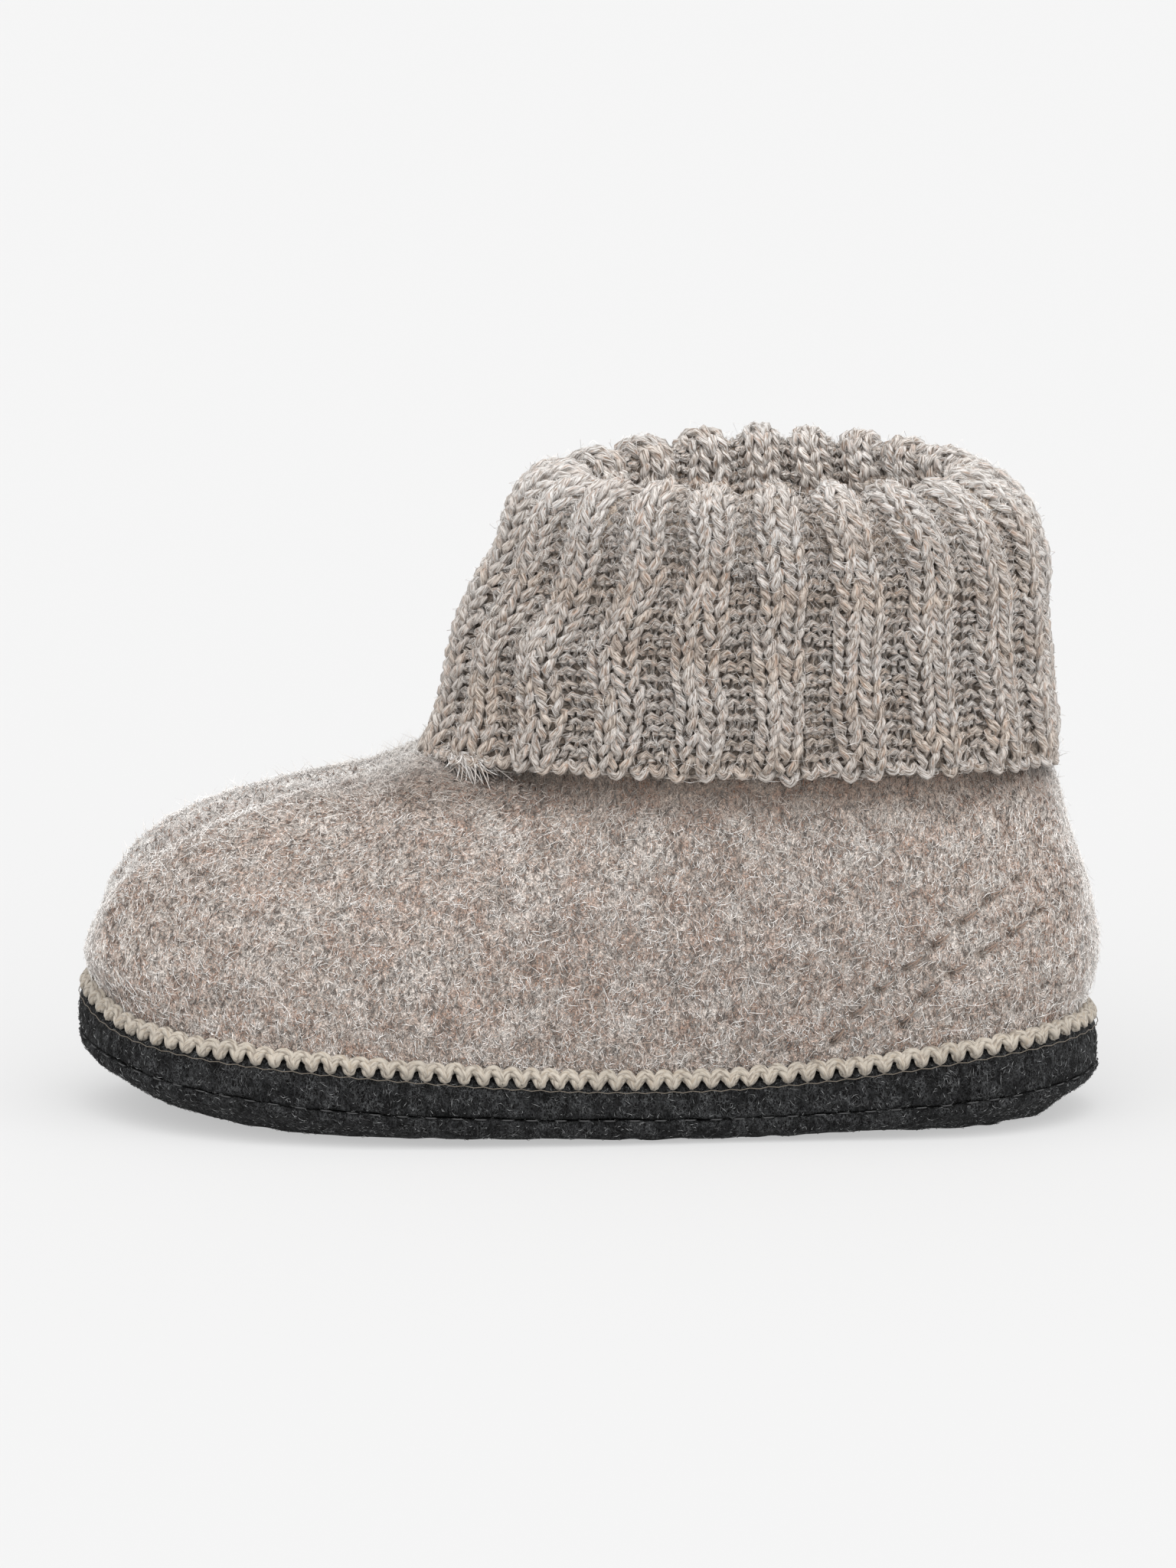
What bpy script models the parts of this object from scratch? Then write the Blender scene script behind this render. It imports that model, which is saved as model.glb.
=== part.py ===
"""A child's felted wool slipper: two-layer sole, hollow upper and folded rib cuff.

The toe points along -X, the outer side faces -Y and +Z is up. Every size in the
tables below is in millimetres; the meshes are in metres.

The pieces share one way round the shoe: a place of 0 is the middle of the heel,
then come the outer side, the tip of the toe at 0.5 and the inner side.
"""

import bpy
import numpy as np

MM = 0.001

# ---------------------------------------------------------------- main sizes
AROUND = 64              # points round each ring
GAP = 0.3                # clearance between neighbouring pieces

OUTSOLE_THICKNESS = 4.5
EDGE_ROLL = 2.4          # how far the rounded bottom edge reaches under the sole
WAIST_OF_SIDE = 0.9      # how far the groove between the two layers is let in
MIDSOLE_FLOOR = 4.0      # thickness of the midsole under the foot
RIM_SET_BACK = 2.5       # from the widest outline in to the outside of the rim
RIM_WIDTH = 3.2
INSOLE_THICKNESS = 3.0
INSOLE_SET_BACK = 6.4

WALL = 3.0               # felt of the upper
COLLAR_BASE = 62.2       # where the upper turns up into its collar
COLLAR_TOP = 70.0
COLLAR_FRONT = -22.0     # x of the outside of the collar at the front
COLLAR_BACK = 77.4       # and at the back
COLLAR_HALF = 34.4       # half of its width

KNIT = 3.2               # one layer of rib knit
STITCH_HEIGHT = 4.0      # height of the ring of edge stitches
BAND_SET_BACK = 0.4      # from the widest outline in to the outside of that ring
REBATE = 1.7             # and in to the step that holds it

# One row for each place round the sole. The columns are: name, place, x, y, height
# of the joint between sole and upper, height of the sole's rounded bottom edge,
# the turn round the collar that this place leads up to, then the two handles of
# the upper's side curve: out and up from the joint, out and down from the collar.
SECTIONS = (
    # name            place   x      y     joint  edge  turn   out1  up1   out2  down2
    ("heel back",     0.000,  88.0,   0.0, 18.6,  4.6, 0.000,  5.8, 13.5,  4.8,  1.6),
    ("heel corner",   0.041,  82.0, -15.8, 18.2,  3.8, 0.060,  5.6, 14.0,  4.6,  5.0),
    ("heel side",     0.081,  68.0, -25.2, 17.0,  2.6, 0.120,  5.4, 15.0,  3.6, 10.0),
    ("heel front",    0.128,  49.0, -28.0, 14.6,  1.4, 0.180,  5.0, 15.0,  2.5, 14.0),
    ("waist",         0.188,  24.0, -29.8, 12.5,  0.4, 0.250,  4.8, 15.0,  2.0, 14.0),
    ("ball rear",     0.256,  -4.0, -33.0, 12.9,  0.8, 0.320,  3.6, 16.0,  4.5, 12.0),
    ("ball",          0.314, -28.0, -34.6, 14.7,  1.7, 0.375,  2.8, 18.0, 10.0,  8.0),
    ("toe side",      0.367, -50.0, -32.4, 16.2,  3.1, 0.420,  2.6, 21.5, 19.0,  6.0),
    ("toe shoulder",  0.421, -71.0, -24.2, 17.8,  5.4, 0.455,  3.0, 26.0, 28.0,  4.8),
    ("toe corner",    0.461, -82.8, -12.4, 20.2,  7.8, 0.478,  3.6, 29.5, 33.5,  4.0),
    ("toe tip",       0.500, -88.0,   3.0, 23.4,  9.8, 0.500,  4.0, 31.0, 36.0,  3.5),
    ("inner tip",     0.538, -82.6,  17.6, 20.4,  7.8, 0.524,  3.6, 29.5, 33.0,  4.0),
    ("inner toe",     0.579, -69.5,  27.2, 18.0,  5.2, 0.555,  3.2, 26.0, 26.5,  4.8),
    ("inner ball",    0.667, -34.0,  33.2, 14.7,  1.8, 0.620,  2.8, 18.0, 10.0,  8.0),
    ("inner waist",   0.810,  24.0,  26.6, 12.5,  0.4, 0.750,  4.8, 15.0,  2.0, 14.0),
    ("inner heel",    0.901,  61.0,  26.2, 16.2,  2.2, 0.860,  5.3, 15.0,  3.4, 11.0),
    ("inner corner",  0.959,  82.0,  15.6, 18.2,  3.8, 0.940,  5.6, 14.0,  4.6,  5.0),
)

# Toe spring: the middle of the sole leaves the flat here and reaches its full
# lift under the tip of the toe.
SPRING_FROM = -36.0
SPRING_AT_TIP = 6.5

# The middle of the cuff's knit, from its inner end on the collar, up over the
# fold and down to the hem. Each row is one level ring.
CUFF_ROWS = (
    # name           height  front  back  half width
    ("inner end",     70.4,  -20.5, 75.9, 32.9),
    ("inner foot",    72.4,  -20.4, 75.9, 32.9),
    ("inner low",     78.0,  -18.0, 75.5, 32.7),
    ("inner middle",  88.0,  -13.8, 74.3, 32.2),
    ("inner high",    98.0,   -9.0, 72.0, 31.0),
    ("inner top",    106.0,   -5.0, 68.0, 29.7),
    ("fold inside",  110.0,   -4.6, 66.6, 30.0),
    ("fold top",     111.3,   -6.8, 68.6, 32.0),
    ("fold outside", 109.4,   -9.4, 71.4, 33.7),
    ("outer top",    104.0,  -12.4, 74.6, 34.4),
    ("outer high",    95.0,  -17.0, 77.2, 35.0),
    ("outer middle",  84.0,  -22.0, 78.6, 35.8),
    ("outer low",     73.5,  -24.5, 79.2, 36.3),
    ("hem",           63.2,  -25.8, 79.7, 36.5),
)


# ------------------------------------------------------------ shape functions
def closed_spline(places, values, at):
    """A smooth closed curve through the values at their places.

    The places run from 0 to 1 and then meet the start again. Between two rows
    the curve is a cubic, with equal slope and bending on both sides of a row.
    """
    places = np.asarray(places, float)
    values = np.asarray(values, float)
    count = len(places)
    step = np.diff(np.append(places, places[0] + 1.0))
    before = np.roll(step, 1)
    change = (np.roll(values, -1) - values) / step
    system = np.zeros((count, count))
    for row in range(count):
        system[row, row - 1] += before[row]
        system[row, row] += 2.0 * (before[row] + step[row])
        system[row, (row + 1) % count] += step[row]
    bend = np.linalg.solve(system, 6.0 * (change - np.roll(change, 1)))
    at = np.mod(at, 1.0)
    row = np.searchsorted(places, at, side="right") - 1
    after = (row + 1) % count
    span = step[row]
    ahead = (at - places[row]) / span
    back = 1.0 - ahead
    curve = back * values[row] + ahead * values[after]
    curve += span ** 2 / 6.0 * ((back ** 3 - back) * bend[row] + (ahead ** 3 - ahead) * bend[after])
    return curve


def column(number, at):
    """One column of the section table, read smoothly at any place."""
    places = [row[1] for row in SECTIONS]
    values = [row[number] for row in SECTIONS]
    return closed_spline(places, values, at)


def outline(at, set_back=0.0):
    """The edge of the sole seen from above, moved in square to itself by set_back."""
    tiny = 1e-4
    x = column(2, at)
    y = column(3, at)
    along_x = column(2, at + tiny) - column(2, at - tiny)
    along_y = column(3, at + tiny) - column(3, at - tiny)
    length = np.hypot(along_x, along_y)
    out_x = -along_y / length
    out_y = along_x / length
    return x - out_x * set_back, y - out_y * set_back, out_x, out_y


def flat_height(x):
    """Height of the middle of the sole's underside: level, with a raised toe."""
    reach = np.clip((SPRING_FROM - x) / (SPRING_FROM + 88.0), 0.0, None)
    return SPRING_AT_TIP * reach ** 2


def ring(at, set_back, height):
    """One ring of points at this set back, with its own height at each place."""
    x, y, _, _ = outline(at, set_back)
    return np.stack([x, y, height + np.zeros_like(x)], axis=1)


def bezier(first, second, third, last, along):
    """Points of a cubic curve, one row for each value of along."""
    t = along[:, None, None]
    return (
        (1 - t) ** 3 * first + 3 * (1 - t) ** 2 * t * second
        + 3 * (1 - t) * t ** 2 * third + t ** 3 * last
    )


def collar(at):
    """The collar's outside and its outward direction: an ellipse.

    The turn column tells how far round the collar the side curve of a place
    ends. Only its difference from the place is smoothed, since that one closes.
    """
    half_length = (COLLAR_BACK - COLLAR_FRONT) / 2
    middle = (COLLAR_BACK + COLLAR_FRONT) / 2
    places = [row[1] for row in SECTIONS]
    ahead = [row[6] - row[1] for row in SECTIONS]
    turn = 2 * np.pi * (at + closed_spline(places, ahead, at))
    x = middle + half_length * np.cos(turn)
    y = -COLLAR_HALF * np.sin(turn)
    out = np.stack([np.cos(turn) / half_length, -np.sin(turn) / COLLAR_HALF], axis=1)
    out /= np.linalg.norm(out, axis=1)[:, None]
    return x, y, out


# ------------------------------------------------------------- mesh functions
def mesh_object(name, points, faces, material, home):
    """A smooth-shaded mesh object from points in millimetres."""
    mesh = bpy.data.meshes.new(name)
    mesh.from_pydata((np.asarray(points) * MM).tolist(), [], faces)
    mesh.validate()
    mesh.update()
    mesh.shade_smooth()
    mesh.materials.append(material)
    made = bpy.data.objects.new(name, mesh)
    home.objects.link(made)
    return made


def wall_faces(rings, around, closed=False):
    """Quads between each ring and the next, and back to the first if closed."""
    faces = []
    last = rings if closed else rings - 1
    for level in range(last):
        lower = level * around
        upper = ((level + 1) % rings) * around
        for step in range(around):
            turn = (step + 1) % around
            faces.append((lower + step, upper + step, upper + turn, lower + turn))
    return faces


def cap_faces(start, around, upward):
    """A ladder of quads across one ring, from the heel to the toe."""
    faces = []
    for step in range(around // 2):
        near = start + step
        near_next = start + step + 1
        far = start + (around - step) % around
        far_next = start + around - step - 1
        corners = [near, near_next, far_next, far]
        corners = list(dict.fromkeys(corners))
        faces.append(tuple(corners if not upward else corners[::-1]))
    return faces


def slab(name, rings, material, home):
    """A closed solid from rings that run from the bottom cap up to the top cap."""
    around = len(rings[0])
    faces = cap_faces(0, around, upward=False)
    faces += wall_faces(len(rings), around)
    faces += cap_faces((len(rings) - 1) * around, around, upward=True)
    return mesh_object(name, np.concatenate(rings), faces, material, home)


def thicken(shell, thickness, offset):
    """Gives an open shell its wall with a Solidify modifier."""
    wall = shell.modifiers.new("wall", "SOLIDIFY")
    wall.thickness = thickness * MM
    wall.offset = offset
    wall.use_even_offset = True
    wall.use_quality_normals = True
    return shell


def plain_material(name, colour, roughness):
    made = bpy.data.materials.new(name)
    made.use_nodes = True
    shader = made.node_tree.nodes["Principled BSDF"]
    shader.inputs["Base Color"].default_value = (*colour, 1.0)
    shader.inputs["Roughness"].default_value = roughness
    made.diffuse_color = (*colour, 1.0)
    return made


# --------------------------------------------------------------------- pieces
for startup in list(bpy.data.objects):
    bpy.data.objects.remove(startup)

slipper = bpy.data.collections.new("wool_slipper")
bpy.context.scene.collection.children.link(slipper)

dark_felt = plain_material("dark_felt", (0.026, 0.026, 0.027), 0.95)
insole_felt = plain_material("insole_felt", (0.30, 0.27, 0.24), 0.95)
heather_felt = plain_material("heather_felt", (0.37, 0.32, 0.29), 0.95)
cream_yarn = plain_material("cream_yarn", (0.60, 0.54, 0.47), 0.9)
rib_knit = plain_material("rib_knit", (0.30, 0.26, 0.23), 0.95)

place = np.arange(AROUND) / AROUND
joint = column(4, place)
bottom = column(5, place)
groove = bottom + OUTSOLE_THICKNESS

# Outsole: a flat underside, a rounded edge and a groove at its top.
inner_x, _, _, _ = outline(place, 9.0)
slab(
    "outsole",
    [
        ring(place, 9.0, flat_height(inner_x)),
        ring(place, EDGE_ROLL, bottom),
        ring(place, 0.7, bottom + 0.8),
        ring(place, 0.0, bottom + 2.2),
        ring(place, 0.2, groove - 1.0),
        ring(place, WAIST_OF_SIDE, groove - 0.2),
        ring(place, 9.0, groove - 0.4),
    ],
    dark_felt,
    slipper,
)

# Midsole: a felt tray. Its side stands straight, steps in under the edge
# stitches and ends in the rim that carries the upper.
rim = joint - 1.4
band_foot = joint - STITCH_HEIGHT
floor = np.minimum(groove + MIDSOLE_FLOOR, rim - 0.3)
slab(
    "midsole",
    [
        ring(place, 9.0, groove + GAP - 0.2),
        ring(place, WAIST_OF_SIDE, groove + GAP - 0.2),
        ring(place, 0.1, groove + 1.1),
        ring(place, 0.3, band_foot - 0.4),
        ring(place, REBATE, band_foot + 0.1),
        ring(place, RIM_SET_BACK, rim),
        ring(place, RIM_SET_BACK + RIM_WIDTH, rim),
        ring(place, RIM_SET_BACK + RIM_WIDTH + 0.4, floor),
        ring(place, 9.5, floor),
    ],
    dark_felt,
    slipper,
)

# Insole: a plain felt sheet in the tray.
bed = floor + GAP
slab(
    "insole",
    [
        ring(place, 9.5, bed),
        ring(place, INSOLE_SET_BACK + 0.4, bed),
        ring(place, INSOLE_SET_BACK, bed + 0.6),
        ring(place, INSOLE_SET_BACK, bed + INSOLE_THICKNESS - 0.6),
        ring(place, INSOLE_SET_BACK + 0.6, bed + INSOLE_THICKNESS),
        ring(place, 9.5, bed + INSOLE_THICKNESS),
    ],
    insole_felt,
    slipper,
)

# Upper: side curves from the joint to the collar, then the upright collar.
seam_x, seam_y, out_x, out_y = outline(place, RIM_SET_BACK)
seam = np.stack([seam_x, seam_y, rim + GAP], axis=1)
collar_x, collar_y, collar_out = collar(place)
base = np.stack([collar_x, collar_y, np.full(AROUND, COLLAR_BASE)], axis=1)
lower_handle = seam + np.stack(
    [out_x * column(7, place), out_y * column(7, place), column(8, place)], axis=1
)
upper_handle = base + np.stack(
    [
        collar_out[:, 0] * column(9, place),
        collar_out[:, 1] * column(9, place),
        -column(10, place),
    ],
    axis=1,
)
along = np.linspace(0.0, 1.0, 12)
side = bezier(seam, lower_handle, upper_handle, base, along)
stub = [base + np.array([0.0, 0.0, rise]) for rise in (2.0, COLLAR_TOP - COLLAR_BASE)]
rings = list(side) + stub
upper = mesh_object(
    "upper", np.concatenate(rings), wall_faces(len(rings), AROUND), heather_felt, slipper
)
thicken(upper, WALL, -1.0)

# Binding: the band that the edge stitches fill, let into the step of the midsole.
binding_rings = [
    ring(place, REBATE - 0.35, band_foot + 0.4),
    ring(place, RIM_SET_BACK - 0.4, rim + 0.1),
    ring(place, RIM_SET_BACK - 0.8, joint),
    ring(place, BAND_SET_BACK + 0.5, joint + 0.2),
    ring(place, BAND_SET_BACK, rim - 0.4),
    ring(place, BAND_SET_BACK, band_foot + 0.4),
]
mesh_object(
    "binding",
    np.concatenate(binding_rings[::-1]),
    wall_faces(len(binding_rings), AROUND, closed=True),
    cream_yarn,
    slipper,
)

# Cuff: level ellipses over the fold, thickened both ways.
turn = 2 * np.pi * place
cuff_rings = []
for _, height, front, back, half in CUFF_ROWS:
    x = (back + front) / 2 + (back - front) / 2 * np.cos(turn)
    y = -half * np.sin(turn)
    cuff_rings.append(np.stack([x, y, np.full(AROUND, height)], axis=1))
cuff = mesh_object(
    "cuff",
    np.concatenate(cuff_rings),
    wall_faces(len(cuff_rings), AROUND),
    rib_knit,
    slipper,
)
thicken(cuff, KNIT, 0.0)
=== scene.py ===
# %% [markdown]
# # A child's felted wool slipper
# The real slipper is knitted far too big from wool yarn, then washed hot until the
# stitches shrink into felt. Its cuff stays knitted, a cream overlock stitch closes its
# foot, and two layers of charcoal felt make the sole.
#
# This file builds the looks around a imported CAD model. Each cell makes one piece or one
# finish. Shapes are worked out in millimetres as whole numpy arrays, because wool is
# thousands of small, nearly equal things: stitches, plies and fibres.

import bpy
import numpy as np
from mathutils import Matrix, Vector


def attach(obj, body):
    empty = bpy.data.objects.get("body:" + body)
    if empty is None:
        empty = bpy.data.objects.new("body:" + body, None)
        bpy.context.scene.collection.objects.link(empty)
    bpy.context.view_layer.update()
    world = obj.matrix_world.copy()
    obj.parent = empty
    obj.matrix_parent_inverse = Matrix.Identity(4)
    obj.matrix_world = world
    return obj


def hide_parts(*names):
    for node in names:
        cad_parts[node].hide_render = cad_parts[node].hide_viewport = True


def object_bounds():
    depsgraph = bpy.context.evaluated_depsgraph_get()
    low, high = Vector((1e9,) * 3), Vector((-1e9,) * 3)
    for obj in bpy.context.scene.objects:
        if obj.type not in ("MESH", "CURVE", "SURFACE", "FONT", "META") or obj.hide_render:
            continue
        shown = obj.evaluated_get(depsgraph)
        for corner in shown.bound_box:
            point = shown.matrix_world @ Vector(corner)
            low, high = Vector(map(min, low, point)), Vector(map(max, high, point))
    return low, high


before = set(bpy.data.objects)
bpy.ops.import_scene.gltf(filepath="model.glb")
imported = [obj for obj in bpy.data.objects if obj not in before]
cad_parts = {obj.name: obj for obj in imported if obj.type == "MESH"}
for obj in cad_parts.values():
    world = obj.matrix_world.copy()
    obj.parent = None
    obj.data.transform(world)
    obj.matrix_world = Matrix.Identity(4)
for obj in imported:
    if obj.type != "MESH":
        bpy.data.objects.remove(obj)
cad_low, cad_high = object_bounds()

MM = 0.001
print("CAD nodes:", sorted(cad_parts))
print("CAD box in mm:", [round(v / MM, 1) for v in (*cad_low, *cad_high)])

# %% [markdown]
# ## Camera
# A long lens from far away shows a shoe almost without perspective, as a catalogue
# does. The camera aims at the middle of the CAD box and looks slightly down on it.

# %% Camera
ELEVATION = 10.5      # degrees above the horizon
DISTANCE = 1.554      # metres from the middle of the slipper
LENS = 207.7          # mm, on a sensor 36 mm on its long side

aim = (cad_low + cad_high) / 2
tilt = np.radians(ELEVATION)
camera_data = bpy.data.cameras.new("camera")
camera_data.lens = LENS
camera_data.sensor_width = 36.0
camera_data.clip_end = 100.0
camera = bpy.data.objects.new("camera", camera_data)
camera.location = (aim.x, aim.y - DISTANCE * np.cos(tilt), aim.z + DISTANCE * np.sin(tilt))
camera.rotation_euler = (np.pi / 2 - tilt, 0.0, 0.0)
bpy.context.scene.collection.objects.link(camera)
bpy.context.scene.camera = camera
print("camera at", [round(v, 3) for v in camera.location])

# %% [markdown]
# ## Floor and light
# Wool looks best in light from all sides, which shows its depth as soft shade between
# the stitches. A pale sky gives much of the light. Two very wide suns give it a
# direction: the key from above and a little from the left, and a lower fill from the
# right. The floor is plain and pale, and gives a little light of its own.

# %% Floor and light
SKY = 0.85            # brightness of the sky
KEY = 1.84            # strength of the sun from above on the left
FILL = 1.74           # strength of the lower one on the right
FLOOR_SHADE = 0.26    # how much light the floor gives back
FLOOR_GLOW = 0.475    # light of the floor's own, as a lit table has

bpy.context.scene.view_settings.view_transform = "Standard"
world = bpy.data.worlds.new("pale_sky")
world.use_nodes = True
world.node_tree.nodes["Background"].inputs["Color"].default_value = (1.0, 1.0, 1.0, 1.0)
world.node_tree.nodes["Background"].inputs["Strength"].default_value = SKY
bpy.context.scene.world = world


def add_sun(name, strength, width, lean, swing):
    """A sun `width` degrees across, tipped `lean` degrees from overhead and swung round Z."""
    light = bpy.data.lights.new(name, "SUN")
    light.energy = strength
    light.angle = np.radians(width)
    holder = bpy.data.objects.new(name, light)
    holder.rotation_euler = (np.radians(lean), 0.0, np.radians(swing))
    bpy.context.scene.collection.objects.link(holder)


add_sun("soft_key", KEY, width=70.0, lean=32.0, swing=-25.0)
add_sun("soft_fill", FILL, width=80.0, lean=50.0, swing=40.0)

floor_mesh = bpy.data.meshes.new("floor")
floor_corners = [(-20, -20, 0), (20, -20, 0), (20, 20, 0), (-20, 20, 0)]
floor_mesh.from_pydata(floor_corners, [], [(0, 1, 2, 3)])
floor = bpy.data.objects.new("floor", floor_mesh)
bpy.context.scene.collection.objects.link(floor)
floor_material = bpy.data.materials.new("pale_floor")
floor_material.use_nodes = True
floor_shader = floor_material.node_tree.nodes["Principled BSDF"]
floor_shader.inputs["Base Color"].default_value = (FLOOR_SHADE,) * 3 + (1.0,)
floor_shader.inputs["Roughness"].default_value = 1.0
floor_shader.inputs["Specular IOR Level"].default_value = 0.0
floor_shader.inputs["Emission Color"].default_value = (1.0, 1.0, 1.0, 1.0)
floor_shader.inputs["Emission Strength"].default_value = FLOOR_GLOW
floor_mesh.materials.append(floor_material)

# %% [markdown]
# ## Meshes from arrays
# Every piece is either a grid that is bent into shape, or many thin tubes at once. Two
# helpers turn such arrays into Blender meshes: one makes the faces of a grid, the other
# writes points, faces, UV maps and tints straight into a mesh.


# %% Mesh helpers
def unit(vectors):
    """The same directions with a length of one."""
    return vectors / np.maximum(np.linalg.norm(vectors, axis=-1, keepdims=True), 1e-12)


def grid_faces(rows, columns, wrap_rows=False):
    """Quads of a grid that closes across its columns, and their corners' places.

    A quad goes up one row first and then along one column, so that it faces
    outwards when up x across does. The places count columns and rows without
    wrapping, so that a map of them has one clean seam.
    """
    row, column = np.meshgrid(
        np.arange(rows if wrap_rows else rows - 1), np.arange(columns), indexing="ij"
    )
    row_steps = np.array([0, 1, 1, 0])
    column_steps = np.array([0, 0, 1, 1])
    corner_row = row.reshape(-1, 1) + row_steps
    corner_column = column.reshape(-1, 1) + column_steps
    faces = (corner_row % rows) * columns + corner_column % columns
    places = np.stack([corner_column / columns, corner_row / rows], axis=2)
    return faces, places


def make_piece(
    name, points, face_sets, material, maps=None, tint=None, replaced=(), out=None
):
    """A smooth mesh object from points in millimetres, riding on the slipper's body.

    face_sets holds arrays of triangles and quads. Each map gives one array of
    corner places for each of them, tint gives one colour for each point, and out
    the outward way of the cloth below it, which the painted sheen of the wool needs.
    """
    mesh = bpy.data.meshes.new(name)
    corners = np.concatenate([faces.ravel() for faces in face_sets])
    sizes = np.concatenate([np.full(len(f), f.shape[1]) for f in face_sets])
    mesh.vertices.add(len(points))
    mesh.vertices.foreach_set("co", (np.asarray(points) * MM).astype(np.float32).ravel())
    mesh.loops.add(len(corners))
    mesh.loops.foreach_set("vertex_index", corners.astype(np.int32))
    mesh.polygons.add(len(sizes))
    starts = np.concatenate([[0], np.cumsum(sizes)[:-1]])
    mesh.polygons.foreach_set("loop_start", starts.astype(np.int32))
    mesh.update(calc_edges=True)
    mesh.shade_smooth()
    for map_name, places in (maps or {}).items():
        layer = mesh.uv_layers.new(name=map_name)
        flat = np.concatenate([p.reshape(-1, 2) for p in places]).astype(np.float32)
        layer.data.foreach_set("uv", flat.ravel())
    if tint is not None:
        colours = np.ones((len(points), 4), np.float32)
        colours[:, :3] = tint
        layer = mesh.color_attributes.new("tint", "FLOAT_COLOR", "POINT")
        layer.data.foreach_set("color", colours.ravel())
    if out is not None:
        layer = mesh.attributes.new("out", "FLOAT_VECTOR", "POINT")
        layer.data.foreach_set("vector", np.asarray(out, np.float32).ravel())
    mesh.materials.append(material)
    made = bpy.data.objects.new(name, mesh)
    bpy.context.scene.collection.objects.link(made)
    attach(made, "root")
    if replaced:
        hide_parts(*replaced)
    triangle_count = int((sizes - 2).sum())
    print(f"{name}: {len(points)} points, {triangle_count} triangles")
    return made


def lumps(points, size, seed, waves=26):
    """Smooth noise about `size` mm across, mostly between -1 and 1.

    It is the sum of plane waves sin(direction . point * 2 pi / length + shift)
    in random directions, divided so that its spread stays the same.
    """
    chance = np.random.default_rng(seed)
    direction = unit(chance.normal(size=(waves, 3)))
    length = size * chance.uniform(1.4, 3.0, waves)
    shift = chance.uniform(0, 2 * np.pi, waves)
    total = np.zeros(points.shape[:-1])
    for heading, wavelength, start in zip(direction, length, shift):
        total += np.sin(points @ heading * (2 * np.pi / wavelength) + start)
    return total / np.sqrt(waves)


def ease(value, start, end):
    """0 before start, 1 after end and a smooth step between them."""
    t = np.clip((value - start) / (end - start), 0.0, 1.0)
    return t * t * (3 - 2 * t)


print("helpers ready")

# %% [markdown]
# ## The last
# A shoemaker's last gives all pieces their shape. Here it is a table with one row for
# each place round the sole, read with a smooth closed curve. A place of 0 is the middle
# of the heel, then come the outer side, the tip of the toe at 0.5 and the inner side.
# The CAD solids have the same shape, so the wool fits round them.
#
# The columns are the place, its x and y, the height of the joint of sole and upper, the
# height of the sole's rounded bottom edge and the place on the collar that it leads up
# to, in turns. The last four are the handles of the upper's side curve: out and up from
# the joint, then out and down from the collar.

# %% The last
COLLAR_BASE = 62.2      # where the upper turns up into its collar
COLLAR_TOP = 70.0
COLLAR_FRONT = -22.0    # x of the front of the collar
COLLAR_BACK = 77.4      # and of its back
COLLAR_HALF = 34.4      # half of its width
WALL = 3.0              # felt of the upper
RIM_SET_BACK = 2.5      # from the widest outline in to the foot of the upper
GROOVE_HEIGHT = 4.0     # from the bottom edge up to the groove between the layers
MIDSOLE_FLOOR = 4.0     # felt of the midsole under the foot
STITCH_HEIGHT = 4.0     # height of the band of edge stitches
TOE_TIP = -88.0         # x of the tip
SPRING_FROM = -36.0     # x from which the toe is raised
SPRING_AT_TIP = 6.5     # and by how much at its tip

COLUMNS = "name place x y joint edge turn out_low up_low out_high down_high".split()
SECTIONS = (
    # name            place   x      y     joint  edge  turn   out   up    out   down
    ("heel back",     0.000,  88.0,   0.0, 18.6,  4.6, 0.000,  5.8, 13.5,  4.8,  1.6),
    ("heel corner",   0.041,  82.0, -15.8, 18.2,  3.8, 0.060,  5.6, 14.0,  4.6,  5.0),
    ("heel side",     0.081,  68.0, -25.2, 17.0,  2.6, 0.120,  5.4, 15.0,  3.6, 10.0),
    ("heel front",    0.128,  49.0, -28.0, 14.6,  1.4, 0.180,  5.0, 15.0,  2.5, 14.0),
    ("waist",         0.188,  24.0, -29.8, 12.5,  0.4, 0.250,  4.8, 15.0,  2.0, 14.0),
    ("ball rear",     0.256,  -4.0, -33.0, 12.9,  0.8, 0.320,  3.6, 16.0,  4.5, 12.0),
    ("ball",          0.314, -28.0, -34.6, 14.7,  1.7, 0.375,  2.8, 18.0, 10.0,  8.0),
    ("toe side",      0.367, -50.0, -32.4, 16.2,  3.1, 0.420,  2.6, 21.5, 19.0,  6.0),
    ("toe shoulder",  0.421, -71.0, -24.2, 17.8,  5.4, 0.455,  3.0, 26.0, 28.0,  4.8),
    ("toe corner",    0.461, -82.8, -12.4, 20.2,  7.8, 0.478,  3.6, 29.5, 33.5,  4.0),
    ("toe tip",       0.500, -88.0,   3.0, 23.4,  9.8, 0.500,  4.0, 31.0, 36.0,  3.5),
    ("inner tip",     0.538, -82.6,  17.6, 20.4,  7.8, 0.524,  3.6, 29.5, 33.0,  4.0),
    ("inner toe",     0.579, -69.5,  27.2, 18.0,  5.2, 0.555,  3.2, 26.0, 26.5,  4.8),
    ("inner ball",    0.667, -34.0,  33.2, 14.7,  1.8, 0.620,  2.8, 18.0, 10.0,  8.0),
    ("inner waist",   0.810,  24.0,  26.6, 12.5,  0.4, 0.750,  4.8, 15.0,  2.0, 14.0),
    ("inner heel",    0.901,  61.0,  26.2, 16.2,  2.2, 0.860,  5.3, 15.0,  3.4, 11.0),
    ("inner corner",  0.959,  82.0,  15.6, 18.2,  3.8, 0.940,  5.6, 14.0,  4.6,  5.0),
)
SECTION = {title: np.array(values) for title, values in zip(COLUMNS, zip(*SECTIONS))}


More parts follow.
